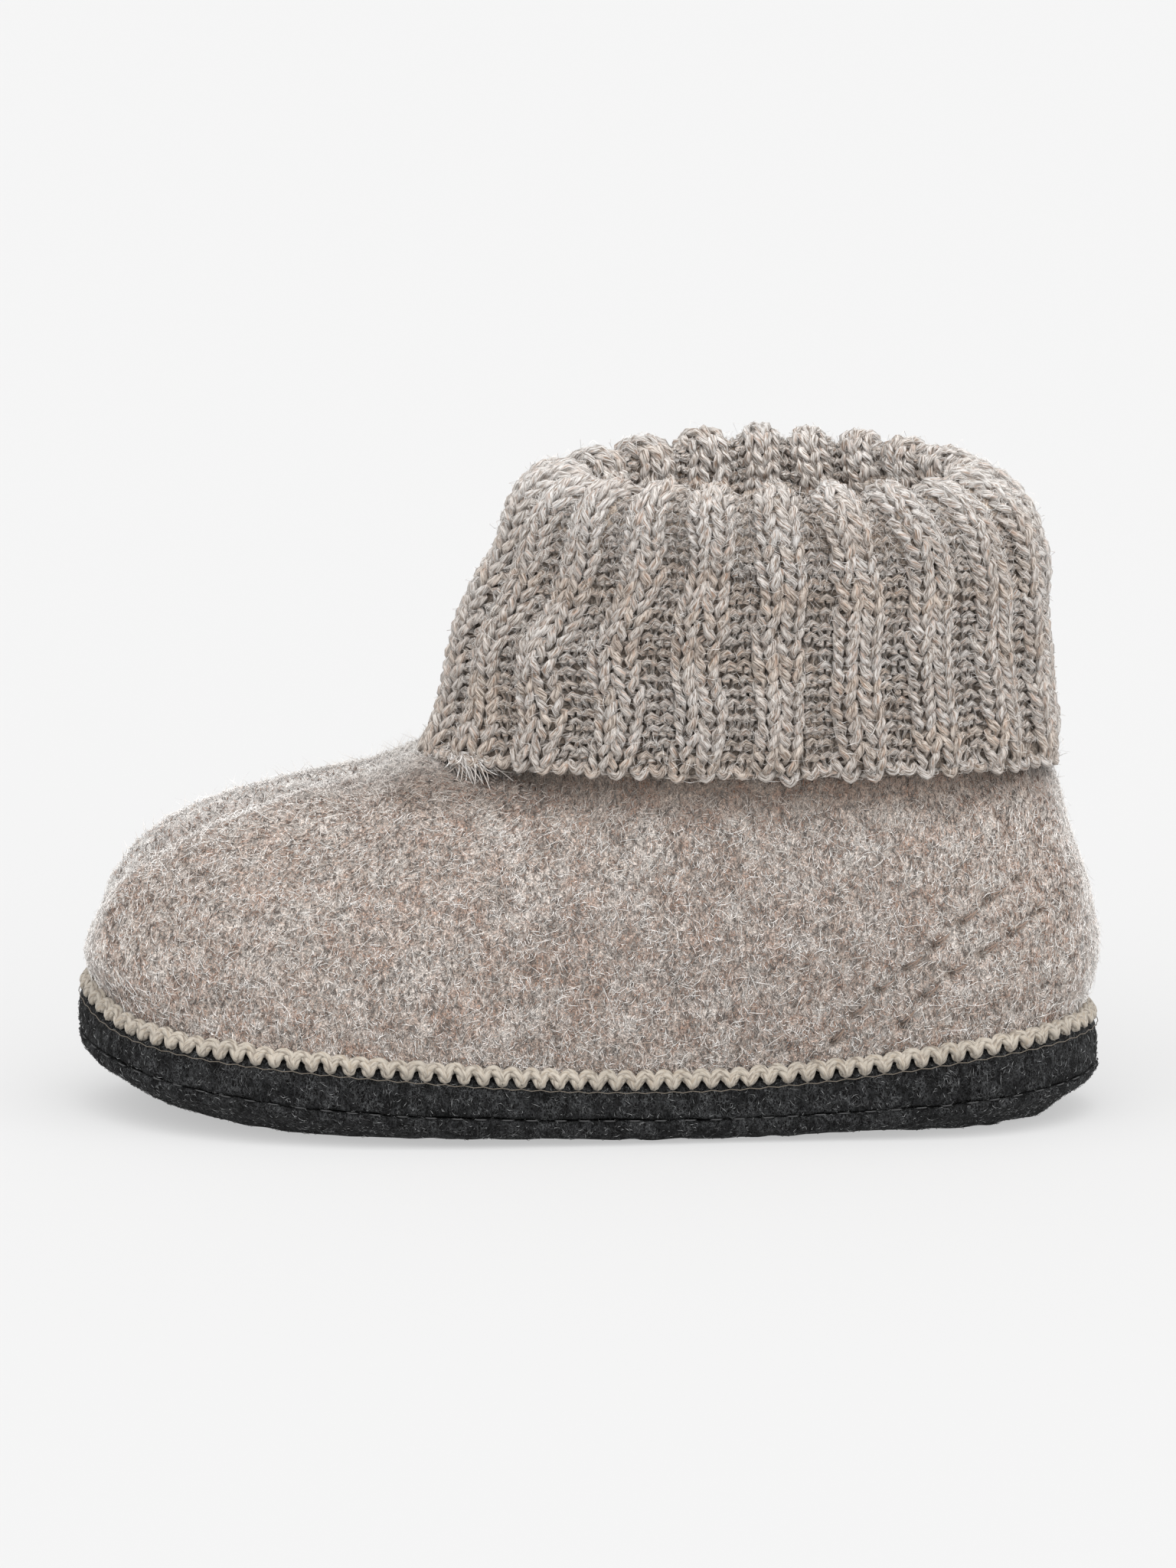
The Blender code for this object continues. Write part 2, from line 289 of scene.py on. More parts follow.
def closed_spline(places, values, at):
    """A closed curve through the values: cubics with equal slope and bend at each row."""
    step = np.diff(np.append(places, places[0] + 1.0))
    change = (np.roll(values, -1) - values) / step
    system = np.diag(2.0 * (np.roll(step, 1) + step))
    system += np.diag(step[:-1], 1) + np.diag(step[:-1], -1)
    system[0, -1] = system[-1, 0] = step[-1]
    bend = np.linalg.solve(system, 6.0 * (change - np.roll(change, 1)))
    at = np.mod(at, 1.0)
    row = np.searchsorted(places, at, side="right") - 1
    after = (row + 1) % len(places)
    span = step[row]
    ahead = (at - places[row]) / span
    back = 1.0 - ahead
    curve = back * values[row] + ahead * values[after]
    sway = (back ** 3 - back) * bend[row] + (ahead ** 3 - ahead) * bend[after]
    return curve + span ** 2 / 6.0 * sway


def column(title, at):
    """One column of the table, read smoothly at any place."""
    return closed_spline(SECTION["place"], SECTION[title], at)


def outline(at, set_back=0.0):
    """The edge of the sole from above, moved in square to itself, and its outward way."""
    tiny = 1e-4
    x, y = column("x", at), column("y", at)
    along_x = column("x", at + tiny) - column("x", at - tiny)
    along_y = column("y", at + tiny) - column("y", at - tiny)
    length = np.hypot(along_x, along_y)
    out_x, out_y = -along_y / length, along_x / length
    return x - out_x * set_back, y - out_y * set_back, out_x, out_y


def ring(at, set_back, height):
    """Points round the sole, set back from its edge and at a height, for each place."""
    x, y = outline(at, set_back)[:2]
    return np.stack([x, y, height + np.zeros_like(x)], axis=-1)


def outward(at):
    """The level way out of the sole at each place."""
    out_x, out_y = outline(at)[2:]
    return np.stack([out_x, out_y, 0 * out_x], axis=-1)


def flat_height(x):
    """Height of the middle of the sole's underside: level, with a raised toe."""
    reach = np.clip((SPRING_FROM - x) / (SPRING_FROM - TOE_TIP), 0.0, None)
    return SPRING_AT_TIP * reach ** 2


girth = ring(np.linspace(0, 1, 2001), 0.0, 0.0)
ROUND_SOLE = np.linalg.norm(np.diff(girth, axis=0), axis=1).sum()
print("length round the sole:", round(ROUND_SOLE, 1), "mm")

# %% [markdown]
# ## Sheets
# Fibres have to lie on the wool, and stitches have to follow the cuff. A sheet keeps a
# fine grid of points with its outward, upward and sideways directions. It is read
# between its points by mixing the four nearest, so anything can be laid on it.


# %% Sheets
def make_sheet(points):
    """A grid of points that closes across, with its slopes and outward directions."""
    up = np.gradient(points, axis=0)
    across = (np.roll(points, -1, axis=1) - np.roll(points, 1, axis=1)) / 2
    return {"points": points, "up": up, "across": across, "out": unit(np.cross(up, across))}


def read_sheet(layer, columns, rows):
    """One layer of a sheet between its points: the mix of the four nearest."""
    height, width = layer.shape[:2]
    rows = np.clip(rows, 0.0, height - 1.001)
    low, left = np.floor(rows).astype(int), np.floor(columns).astype(int)
    up, right = (rows - low)[..., None], (columns - left)[..., None]
    left, beyond = left % width, (left + 1) % width
    lower = layer[low, left] * (1 - right) + layer[low, beyond] * right
    upper = layer[low + 1, left] * (1 - right) + layer[low + 1, beyond] * right
    return lower * (1 - up) + upper * up


def tubes(path, radius, facing, sides):
    """Closed tubes along many paths at once, pointed at both ends.

    path is (tubes, stations, 3). Each inner station carries a ring of points
    centre + radius * (cos(angle) * front + sin(angle) * side), where front is
    the facing direction squared up to the path and side completes the frame.
    Returns points, triangles and quads, and for each corner of a face how far
    round the tube it is, which station it is at and which tube it belongs to.
    """
    count, stations = path.shape[:2]
    ahead = unit(np.gradient(path, axis=1))
    front = unit(facing - (facing * ahead).sum(axis=2, keepdims=True) * ahead)
    side = np.cross(ahead, front)
    angle = 2 * np.pi * np.arange(sides) / sides
    reach = radius[:, 1:-1, None, None]
    rings = path[:, 1:-1, None] + reach * (
        np.cos(angle)[:, None] * front[:, 1:-1, None]
        + np.sin(angle)[:, None] * side[:, 1:-1, None]
    )
    inner = stations - 2
    points = np.concatenate([path[:, :1], rings.reshape(count, -1, 3), path[:, -1:]], axis=1)

    step = np.arange(sides)
    nothing = np.zeros_like(step)
    start = np.stack([nothing, 1 + (step + 1) % sides, 1 + step], axis=1)
    last = 1 + (inner - 1) * sides
    end = np.stack([last + step, last + (step + 1) % sides, nothing + last + sides], axis=1)
    r, j = np.meshgrid(np.arange(inner - 1), step, indexing="ij")
    r, j = r.reshape(-1, 1), j.reshape(-1, 1)
    corner_ring = r + np.array([0, 0, 1, 1])
    corner_side = j + np.array([0, 1, 1, 0])
    quads = 1 + corner_ring * sides + corner_side % sides
    tip_side = (step + 0.5)[:, None]
    near_sides, far_sides = step[:, None] + 1, step[:, None]
    start_side = np.concatenate([tip_side, near_sides, far_sides], axis=1)
    end_side = np.concatenate([far_sides, near_sides, tip_side], axis=1)
    start_ring = np.tile([0, 1, 1], (sides, 1))
    end_ring = np.tile([inner, inner, inner + 1], (sides, 1))

    base = (np.arange(count) * points.shape[1])[:, None, None]
    tube = np.arange(count)[:, None, None]
    triangles = np.concatenate([start, end])
    triangle_side = np.concatenate([start_side, end_side]) / sides
    triangle_ring = np.concatenate([start_ring, end_ring])
    face_sets, corner_sets = [], []
    for faces, around, station in (
        (triangles, triangle_side, triangle_ring),
        (quads, corner_side / sides, corner_ring + 1),
    ):
        if not len(faces):
            continue
        shape = (count, *faces.shape)
        face_sets.append((base + faces).reshape(-1, faces.shape[1]))
        corner_sets.append(tuple(
            np.broadcast_to(part, shape).reshape(-1, faces.shape[1])
            for part in (around, station, tube)
        ))
    return points.reshape(-1, 3), face_sets, corner_sets


def tube_maps(path, corner_sets):
    """Two UV maps for tubes: one cell of a square for each, and round against length."""
    count, stations = path.shape[:2]
    steps = np.linalg.norm(np.diff(path, axis=1), axis=2)
    length = np.concatenate([np.zeros((count, 1)), np.cumsum(steps, axis=1)], axis=1)
    cells = int(np.ceil(np.sqrt(count)))
    bake, yarn = [], []
    for around, station, tube in corner_sets:
        cell_x, cell_y = tube % cells, tube // cells
        bake_x = (cell_x + 0.05 + 0.9 * around) / cells
        bake_y = (cell_y + 0.05 + 0.9 * station / (stations - 1)) / cells
        bake.append(np.stack([bake_x, bake_y], axis=2))
        yarn.append(np.stack([around, length[tube, station] + 7.3 * tube], axis=2))
    return {"OFBake": bake, "yarn": yarn}


def add_tubes(
    name, path, thick, facing, sides, material, tone, ways=None, with_yarn=False
):
    """Many pointed tubes as one piece, with one tone for all or one for each.

    `ways` are the outward ways of the cloth along each tube, and its points keep
    the middle one. A tube that is a yarn also gets the map that its plies need.
    """
    thick = np.broadcast_to(thick, path.shape[:2])
    points, face_sets, corner_sets = tubes(path, thick, facing, sides)
    each = len(points) // len(path)
    tint = np.repeat(np.broadcast_to(tone, (len(path), 3)), each, axis=0)
    out = None if ways is None else np.repeat(ways[:, ways.shape[1] // 2], each, axis=0)
    maps = tube_maps(path, corner_sets)
    if not with_yarn:
        del maps["yarn"]
    make_piece(name, points, face_sets, material, maps, tint, out=out)


def lay_fibres(sheet, count, seed, length, curl, stations=4, density=None, heading=None):
    """Short curved paths on a sheet, spread evenly by area.

    Each fibre starts in a cell picked with a chance equal to its area, heads in
    its own direction and turns by `curl` on its way. Steps in millimetres become
    steps in cells by dividing by the size of the cell that it starts in.
    """
    chance = np.random.default_rng(seed)
    area = np.linalg.norm(np.cross(sheet["up"], sheet["across"]), axis=2)
    if density is not None:
        area = area * density
    total = np.cumsum(area.ravel())
    picked = np.searchsorted(total, chance.uniform(0, total[-1], count))
    row, col = np.divmod(picked, area.shape[1])
    wide = np.linalg.norm(sheet["across"][row, col], axis=1)[:, None]
    high = np.linalg.norm(sheet["up"][row, col], axis=1)[:, None]
    start = chance.uniform(0, 2 * np.pi, count) if heading is None else heading(chance, row, col)
    bend = chance.normal(0, curl, count)
    size = length * chance.uniform(0.55, 1.45, count)
    share = np.linspace(-0.5, 0.5, stations)
    angle = start[:, None] + bend[:, None] * share
    step = size[:, None] / (stations - 1)
    sideways = np.cumsum(np.cos(angle) * step, axis=1)
    upward = np.cumsum(np.sin(angle) * step, axis=1)
    columns = (col + chance.uniform(0, 1, count))[:, None] + sideways / wide
    rows = (row + chance.uniform(0, 1, count))[:, None] + upward / high
    path = read_sheet(sheet["points"], columns, rows)
    out = read_sheet(sheet["out"], columns, rows)
    spot = columns[:, stations // 2], rows[:, stations // 2]
    return path, out, spot, chance


print("sheets ready")

# %% [markdown]
# ## Finishes
# Wool has no gloss. What the eye sees is colour that changes from fibre to fibre, thin
# curly fibres that catch light over darker gaps, plies that wind round each yarn, and a
# pale bloom where the surface turns away. The first three are node groups, made once
# and placed in each material with its own values. The bloom is a painted sheen: a
# function mixes the base colour of each material that needs it towards pale at a slant.


# %% Node helpers
def put(tree, socket, value):
    """Links a socket to another one, or sets its own value; a colour needs no alpha."""
    if isinstance(value, bpy.types.NodeSocket):
        tree.links.new(value, socket)
    elif value is not None:
        socket.default_value = (*value, 1.0) if socket.type == "RGBA" else value


def add_node(tree, kind, inputs, **settings):
    """A node with its settings and its first inputs, or the inputs that are named."""
    node = tree.nodes.new("ShaderNode" + kind)
    for label, value in settings.items():
        setattr(node, label, value)
    for place, value in (inputs if isinstance(inputs, dict) else dict(enumerate(inputs))).items():
        put(tree, node.inputs[place], value)
    return node


def math_node(tree, operation, first, second=None):
    return add_node(tree, "Math", (first, second), operation=operation).outputs[0]


def times(tree, first, second):
    return math_node(tree, "MULTIPLY", first, second)


def plus(tree, first, second):
    return math_node(tree, "ADD", first, second)


def vector_node(tree, operation, first, second):
    return add_node(tree, "VectorMath", (first, second), operation=operation).outputs[0]


def per_metre(tree, size):
    """The scale of a noise whose lumps are `size` millimetres wide."""
    return math_node(tree, "DIVIDE", 1 / MM, size)


def noise_node(tree, vector, scale, detail=1.0):
    inputs = {"Vector": vector, "Scale": scale, "Detail": detail}
    return add_node(tree, "TexNoise", inputs).outputs["Fac"]


def ease_node(tree, value, start, end):
    """A smooth step from 0 at start to 1 at end."""
    inputs = {"Value": value, "From Min": start, "From Max": end}
    step = add_node(tree, "MapRange", inputs, interpolation_type="SMOOTHSTEP")
    return step.outputs["Result"]


def mix_node(tree, factor, first, second, way="MIX"):
    """A mix of two colours, whose sockets are the node's seventh and eighth."""
    inputs = {0: factor, 6: first, 7: second}
    return add_node(tree, "Mix", inputs, data_type="RGBA", blend_type=way).outputs[2]


def start_group(name, inputs, outputs):
    """A node group with named sockets; returns it with what it is given and gives."""
    tree = bpy.data.node_groups.new(name, "ShaderNodeTree")
    for label, kind, value in inputs:
        socket = tree.interface.new_socket(label, in_out="INPUT", socket_type=kind)
        if value is not None:
            socket.default_value = value
    for label, kind in outputs:
        tree.interface.new_socket(label, in_out="OUTPUT", socket_type=kind)
    given = tree.nodes.new("NodeGroupInput").outputs
    return tree, given, tree.nodes.new("NodeGroupOutput").inputs


def use_group(tree, group, **values):
    """Places a group in a material; socket names use _ for a space."""
    inputs = {label.replace("_", " "): value for label, value in values.items()}
    return add_node(tree, "Group", inputs, node_tree=group).outputs


NUMBER, COLOUR, VECTOR = "NodeSocketFloat", "NodeSocketColor", "NodeSocketVector"
print("node helpers ready")

# %% [markdown]
# ### Heather
# Heather wool is spun from fibres that were dyed apart: pale, grey and brown. Seen from
# near it is a mottle of patches and flecks, and from afar one warm grey. Two slow noises
# place the brown and the pale patches, a finer one the light and dark flecks, and the
# finest changes the level of the colour from fibre to fibre. The dark flecks are partly
# dark fibres and partly painted shade of the gaps between clumps; the group gives them
# out as Gaps, where the bump of the felt sinks.

# %% Heather group
heather, given, gives = start_group(
    "heather_mottle",
    [
        ("Vector", VECTOR, None), ("Patch Size", NUMBER, 5.0), ("Fleck Size", NUMBER, 0.9),
        ("Main", COLOUR, (0.38, 0.33, 0.29, 1)), ("Brown", COLOUR, (0.30, 0.21, 0.16, 1)),
        ("Pale", COLOUR, (0.60, 0.57, 0.54, 1)), ("Dark", COLOUR, (0.10, 0.08, 0.07, 1)),
        ("Grain Size", NUMBER, 0.3), ("Grain", NUMBER, 0.4),
    ],
    [("Color", COLOUR), ("Gaps", NUMBER)],
)
where = given["Vector"]
patches = per_metre(heather, given["Patch Size"])
pale_place = vector_node(heather, "ADD", where, (0.31, 0.17, 0.23))
fleck_place = vector_node(heather, "ADD", where, (0.71, 0.53, 0.11))
fleck_place = vector_node(heather, "MULTIPLY", fleck_place, (1.0, 0.5, 0.5))
brown_mask = ease_node(heather, noise_node(heather, where, patches, 2.0), 0.44, 0.62)
pale_mask = ease_node(heather, noise_node(heather, pale_place, patches, 2.0), 0.48, 0.66)
fleck = noise_node(heather, fleck_place, per_metre(heather, given["Fleck Size"]), 2.0)
# dark flecks: partly dark fibres, partly painted shade of the gaps between clumps
dark_fibre_and_gap_shade_mask = ease_node(heather, fleck, 0.48, 0.34)
light_mask = ease_node(heather, fleck, 0.52, 0.72)
colour = mix_node(heather, brown_mask, given["Main"], given["Brown"])
for mask, share in ((pale_mask, 0.6), (light_mask, 0.5)):
    colour = mix_node(heather, times(heather, mask, share), colour, given["Pale"])
colour = mix_node(heather, dark_fibre_and_gap_shade_mask, colour, given["Dark"])
grain = noise_node(heather, where, per_metre(heather, given["Grain Size"]), 2.0)
swing = times(heather, math_node(heather, "SUBTRACT", grain, 0.5), given["Grain"])
level = plus(heather, times(heather, swing, 4.0), 1.0)
level = math_node(heather, "MAXIMUM", level, 0.15)
put(heather, gives["Color"], vector_node(heather, "MULTIPLY", colour, level))
put(heather, gives["Gaps"], dark_fibre_and_gap_shade_mask)

# %% [markdown]
# ### Tangle
# A felt surface is a mat of curly fibres. Where a smooth noise passes its middle value
# it draws closed, winding lines. Three such noises of different sizes, each narrowed to
# a thin band round that value, cross each other like fibres do. A slow noise thins them
# out in clumps.

# %% Tangle group
tangle, given, gives = start_group(
    "fibre_tangle",
    [
        ("Vector", VECTOR, None), ("Spacing", NUMBER, 0.9), ("Thickness", NUMBER, 0.035),
        ("Clumping", NUMBER, 0.0),
    ],
    [("Lines", NUMBER), ("Height", NUMBER)],
)
where = given["Vector"]
spacing = per_metre(tangle, given["Spacing"])
lines = None
for size, start in ((1.0, 0.0), (1.37, 0.41), (0.74, 0.87)):
    place = vector_node(tangle, "ADD", where, (start, 2 * start, -start))
    field = noise_node(tangle, place, times(tangle, spacing, size), 1.0)
    off_middle = math_node(tangle, "ABSOLUTE", math_node(tangle, "SUBTRACT", field, 0.5))
    line = ease_node(tangle, off_middle, given["Thickness"], 0.0)
    lines = line if lines is None else math_node(tangle, "MAXIMUM", lines, line)
cloud = noise_node(tangle, where, times(tangle, spacing, 0.3), 2.0)
bare = times(tangle, ease_node(tangle, cloud, 0.60, 0.40), given["Clumping"])
lines = times(tangle, lines, math_node(tangle, "SUBTRACT", 1.0, bare))
swell = noise_node(tangle, where, times(tangle, spacing, 0.5))
put(tangle, gives["Lines"], lines)
put(tangle, gives["Height"], plus(tangle, lines, swell))

# %% [markdown]
# ### Plies
# Yarn is two or more plies twisted together, and each ply is a bundle of fibres that
# run along the twist. On the yarn's own map, round against length, both are slanted
# stripes: wide ones for the plies and fine, broken ones for the fibres.

# %% Plies group
plies, given, gives = start_group(
    "yarn_plies",
    [
        ("Map", VECTOR, None), ("Plies", NUMBER, 2.0), ("Turn Length", NUMBER, 5.0),
        ("Girth", NUMBER, 5.0),
    ],
    [("Height", NUMBER), ("Streaks", NUMBER), ("Flecks", NUMBER)],
)
split = add_node(plies, "SeparateXYZ", (given["Map"],)).outputs
twist = math_node(plies, "DIVIDE", split["Y"], given["Turn Length"])
turned = plus(plies, split["X"], twist)
ply_turn = times(plies, times(plies, turned, given["Plies"]), 2 * np.pi)
ply_height = times(plies, plus(plies, math_node(plies, "SINE", ply_turn), 1.0), 0.5)
fibre_place = (times(plies, turned, given["Girth"]), times(plies, split["Y"], 0.22))
fibre_place = add_node(plies, "CombineXYZ", fibre_place).outputs[0]
streak = noise_node(plies, fibre_place, 3.4, 2.0)
put(plies, gives["Height"], plus(plies, ply_height, streak))
put(plies, gives["Streaks"], streak)
fleck_place = vector_node(plies, "ADD", fibre_place, (5.3, 2.7, 0.0))
put(plies, gives["Flecks"], noise_node(plies, fleck_place, 2.0, 2.0))
print("node groups:", [g.name for g in bpy.data.node_groups])

# %% [markdown]
# ### The wool materials
# Felt reads its mottle and tangle from the place of each point, yarn reads its plies
# from its own map, and loose fibres each carry one colour. All are rough and hardly
# shine. The shader's sheen and the painted sheen in the base colour stand for the hairs
# that are too fine to make.

# %% Materials
RUST_FIBRES = (0.36, 0.22, 0.15)
PLY_SHADE = (0.12, 0.10, 0.085)
# the pale that the painted sheen mixes into the base colour at a slant
PAINTED_SHEEN_TONE = (0.88, 0.86, 0.835)
PAINTED_SHEEN_START = 0.42    # the slant at which the painted sheen begins


def start_material(name, sheen, sheen_tone, roughness=0.95):
    """A rough wool shader, its tree and its material."""
    material = bpy.data.materials.new(name)
    material.use_nodes = True
    shader = material.node_tree.nodes["Principled BSDF"]
    for label, value in (
        ("Roughness", roughness), ("Specular IOR Level", 0.15), ("Sheen Weight", sheen),
        ("Sheen Roughness", 0.6), ("Sheen Tint", sheen_tone),
    ):
        put(material.node_tree, shader.inputs[label], value)
    return material, material.node_tree, shader


def add_bump(tree, shader, height, depth):
    """Lets a height of 1 stand `depth` mm proud."""
    inputs = {"Strength": 1.0, "Distance": depth * MM, "Height": height}
    put(tree, shader.inputs["Normal"], add_node(tree, "Bump", inputs).outputs["Normal"])


def read_kept(tree, label, kind="Color"):
    """What the mesh keeps for each of its points under this name."""
    return add_node(tree, "Attribute", (), attribute_name=label).outputs[kind]


def add_painted_sheen(tree, colour, share):
    """Painted sheen of wool: the base colour is mixed towards pale at a slant,
    as its standing hairs look pale there.

    Layer Weight gives the slant of the cloth as 1 - cosine. It reads the cloth's
    own outward way, which the mesh keeps, so a curled fibre takes the painted
    sheen of its cloth.
    """
    way = add_node(
        tree, "VectorTransform", (read_kept(tree, "out", "Vector"),),
        vector_type="NORMAL", convert_from="OBJECT", convert_to="WORLD",
    )
    weight = add_node(tree, "LayerWeight", {"Blend": 0.5, "Normal": way.outputs[0]})
    slant = ease_node(tree, weight.outputs["Facing"], PAINTED_SHEEN_START, 1.0)
    return mix_node(tree, times(tree, slant, share), colour, PAINTED_SHEEN_TONE)


def finish_material(material, shader, colour, painted_sheen):
    """Gives the shader its colour, with a painted sheen mixed in if it has one."""
    tree = material.node_tree
    put(tree, shader.inputs["Base Color"], add_painted_sheen(tree, colour, painted_sheen) if painted_sheen else colour)
    return material


def felt_material(
    name, colours, sizes, line_tone, line_share, sheen, depth, grain, clumping=0.0, painted_sheen=0.0
):
    """Felt: heather under a tangle of fibres, over a fine bump of both.

    `colours` are its main, brown, pale and dark ones, and `sizes` those of its
    patches and flecks and the spacing of its fibres, in millimetres.
    """
    main, brown, pale, dark = colours
    patch, fleck, spacing = sizes
    material, tree, shader = start_material(name, sheen, pale)
    place = tree.nodes.new("ShaderNodeTexCoord").outputs["Object"]
    mottle = use_group(
        tree, heather, Vector=place, Patch_Size=patch, Fleck_Size=fleck, Main=main,
        Brown=brown, Pale=pale, Dark=dark, Grain_Size=0.30, Grain=grain,
    )
    combed = vector_node(tree, "MULTIPLY", place, (1.0, 1.0, 0.6))
    mat = use_group(
        tree, tangle, Vector=combed, Spacing=spacing, Thickness=0.06, Clumping=clumping
    )
    lines = times(tree, mat["Lines"], line_share)
    colour = mix_node(tree, lines, mottle["Color"], line_tone)
    # the tint carries painted shade on the upper and painted light on the cuff's ground
    colour = mix_node(tree, 1.0, colour, read_kept(tree, "tint"), "MULTIPLY")
    height = plus(tree, mat["Height"], times(tree, mottle["Gaps"], -1.2))
    add_bump(tree, shader, height, depth)
    return finish_material(material, shader, colour, painted_sheen)


def yarn_material(name, ply_count, turn_length, girth, dark, sheen, depth, painted_sheen=0.0, rust=0.0):
    """Yarn: the tint of each stitch, streaked along its plies, with painted shade between them.

    A ply takes `turn_length` mm for one turn. `dark` is the tone of its streaks,
    `rust` the share of reddish fibres and `depth` how far it stands proud.
    """
    material, tree, shader = start_material(name, sheen, (0.8, 0.78, 0.75))
    yarn_map = tree.nodes.new("ShaderNodeUVMap")
    yarn_map.uv_map = "yarn"
    twist = use_group(
        tree, plies, Map=yarn_map.outputs["UV"], Plies=ply_count,
        Turn_Length=turn_length, Girth=girth,
    )
    pale = ease_node(tree, twist["Streaks"], 0.35, 0.57)
    low = ease_node(tree, twist["Height"], 0.80, 0.40)
    colour = mix_node(tree, pale, dark, (1.0, 1.0, 1.0))
    colour = mix_node(tree, 1.0, colour, read_kept(tree, "tint"), "MULTIPLY")
    rusty = times(tree, ease_node(tree, twist["Flecks"], 0.52, 0.66), rust)
    colour = mix_node(tree, rusty, colour, RUST_FIBRES)
    # painted shade in the hollows between the plies
    colour = mix_node(tree, times(tree, low, 0.6), colour, PLY_SHADE)
    add_bump(tree, shader, twist["Height"], depth)
    return finish_material(material, shader, colour, painted_sheen)


def fibre_material(name, sheen, painted_sheen=0.0):
    """Loose fibres: one colour each."""
    material, tree, shader = start_material(name, sheen, (0.85, 0.83, 0.80), roughness=0.8)
    return finish_material(material, shader, read_kept(tree, "tint"), painted_sheen)


HEATHER_COLOURS = (
    (0.355, 0.278, 0.234), (0.29, 0.185, 0.137), (0.60, 0.56, 0.52), (0.115, 0.085, 0.068),
)
INSOLE_COLOURS = (
    (0.30, 0.27, 0.24), (0.24, 0.20, 0.17), (0.42, 0.40, 0.37), (0.12, 0.10, 0.09),
)
CHARCOAL_COLOURS = (
    (0.0045, 0.0047, 0.0049), (0.003, 0.0031, 0.0032), (0.020, 0.0205, 0.021),
    (0.001, 0.001, 0.001),
)
# The painted sheen share of each material mixes its base colour towards pale at a slant.
heather_felt = felt_material(
    "heather_felt", HEATHER_COLOURS, (5.0, 0.75, 0.7), line_tone=(0.76, 0.705, 0.66),
    line_share=0.60, sheen=0.6, depth=0.38, grain=1.0, clumping=0.6, painted_sheen=0.9,
)
insole_felt = felt_material(
    "insole_felt", INSOLE_COLOURS, (6.0, 1.0, 1.0), line_tone=(0.45, 0.42, 0.39),
    line_share=0.4, sheen=0.2, depth=0.20, grain=0.5,
)
charcoal_felt = felt_material(
    "charcoal_felt", CHARCOAL_COLOURS, (4.0, 0.8, 0.65), line_tone=(0.085, 0.087, 0.089),
    line_share=0.75, sheen=0.0, depth=0.30, grain=1.9, clumping=0.85,
)
rib_yarn = yarn_material(
    "rib_yarn", ply_count=3.0, turn_length=12.5, girth=5.4, dark=(0.30, 0.245, 0.20),
    sheen=0.3, depth=0.30, painted_sheen=0.14, rust=0.5,
)
cream_yarn = yarn_material(
    "cream_yarn", ply_count=2.0, turn_length=5.0, girth=2.8, dark=(0.76, 0.71, 0.66),
    sheen=0.20, depth=0.12,
)
wool_fibres = fibre_material("wool_fibres", sheen=0.40, painted_sheen=0.78)
sole_fibres = fibre_material("sole_fibres", sheen=0.05)
print("materials:", [m.name for m in bpy.data.materials])

# %% [markdown]
# ## Upper
# The upper is one seamless shell. For every place round the sole a side curve rises
# from the joint with the sole to the collar: a cubic Bezier curve whose two handles
# come from the table. Laid side by side the curves are the whole foot. The inner wall is
# the same surface moved in by the thickness of the felt, so the shell is closed.

# %% Shape of the upper
AROUND_UPPER = 520
SIDE_ROWS = 76
STUB_ROWS = 4         # rows of the short collar that stands on the side
INNER_EVERY = 8       # the hidden inner wall keeps one row in this many
TUCK = 1.1            # mm that the foot of the upper reaches below the joint

upper_place = np.arange(AROUND_UPPER) / AROUND_UPPER
joint = column("joint", upper_place)
seam = ring(upper_place, RIM_SET_BACK, joint - TUCK)


def collar(at):
    """The collar's outside, an ellipse, and its outward way.

    The turn column says how far round the collar each side curve ends. Only its
    difference from the place is smoothed, since that one closes.
    """
    half_length = (COLLAR_BACK - COLLAR_FRONT) / 2
    ahead = closed_spline(SECTION["place"], SECTION["turn"] - SECTION["place"], at)
    turn = 2 * np.pi * (at + ahead)
    x = (COLLAR_BACK + COLLAR_FRONT) / 2 + half_length * np.cos(turn)
    y = -COLLAR_HALF * np.sin(turn)
    out = unit(np.stack([np.cos(turn) / half_length, -np.sin(turn) / COLLAR_HALF], axis=1))
    return x, y, out


collar_x, collar_y, collar_out = collar(upper_place)
base = np.stack([collar_x, collar_y, np.full(AROUND_UPPER, COLLAR_BASE)], axis=1)
seam_out = outward(upper_place)[:, :2]
low_handle = np.column_stack(
    [seam_out * column("out_low", upper_place)[:, None], column("up_low", upper_place)]
)
high_handle = np.column_stack(
    [collar_out * column("out_high", upper_place)[:, None], -column("down_high", upper_place)]
)
t = np.linspace(0.0, 1.0, SIDE_ROWS)[:, None, None]
side = (
    (1 - t) ** 3 * seam + 3 * (1 - t) ** 2 * t * (seam + low_handle)
    + 3 * (1 - t) * t ** 2 * (base + high_handle) + t ** 3 * base
)
rise = np.linspace(0.0, COLLAR_TOP - COLLAR_BASE, STUB_ROWS + 1)[1:, None, None]
stub = base + rise * np.array([0.0, 0.0, 1.0])
smooth_upper = make_sheet(np.concatenate([side, stub]))
print("upper grid:", smooth_upper["points"].shape)

# %% [markdown]
# ### Creases, dimples and lumps
# Boiled wool keeps the marks of its making. A soft trough runs along the top of the toe
# a little to the outer side, where the flat knitted foot was folded. Two slanting lines
# of small dimples on each side of the heel show where it was gathered with yarn. They
# are placed in the slipper's own millimetres, as soft troughs and ridges, and
# low lumps of felted stitches cover all of it.

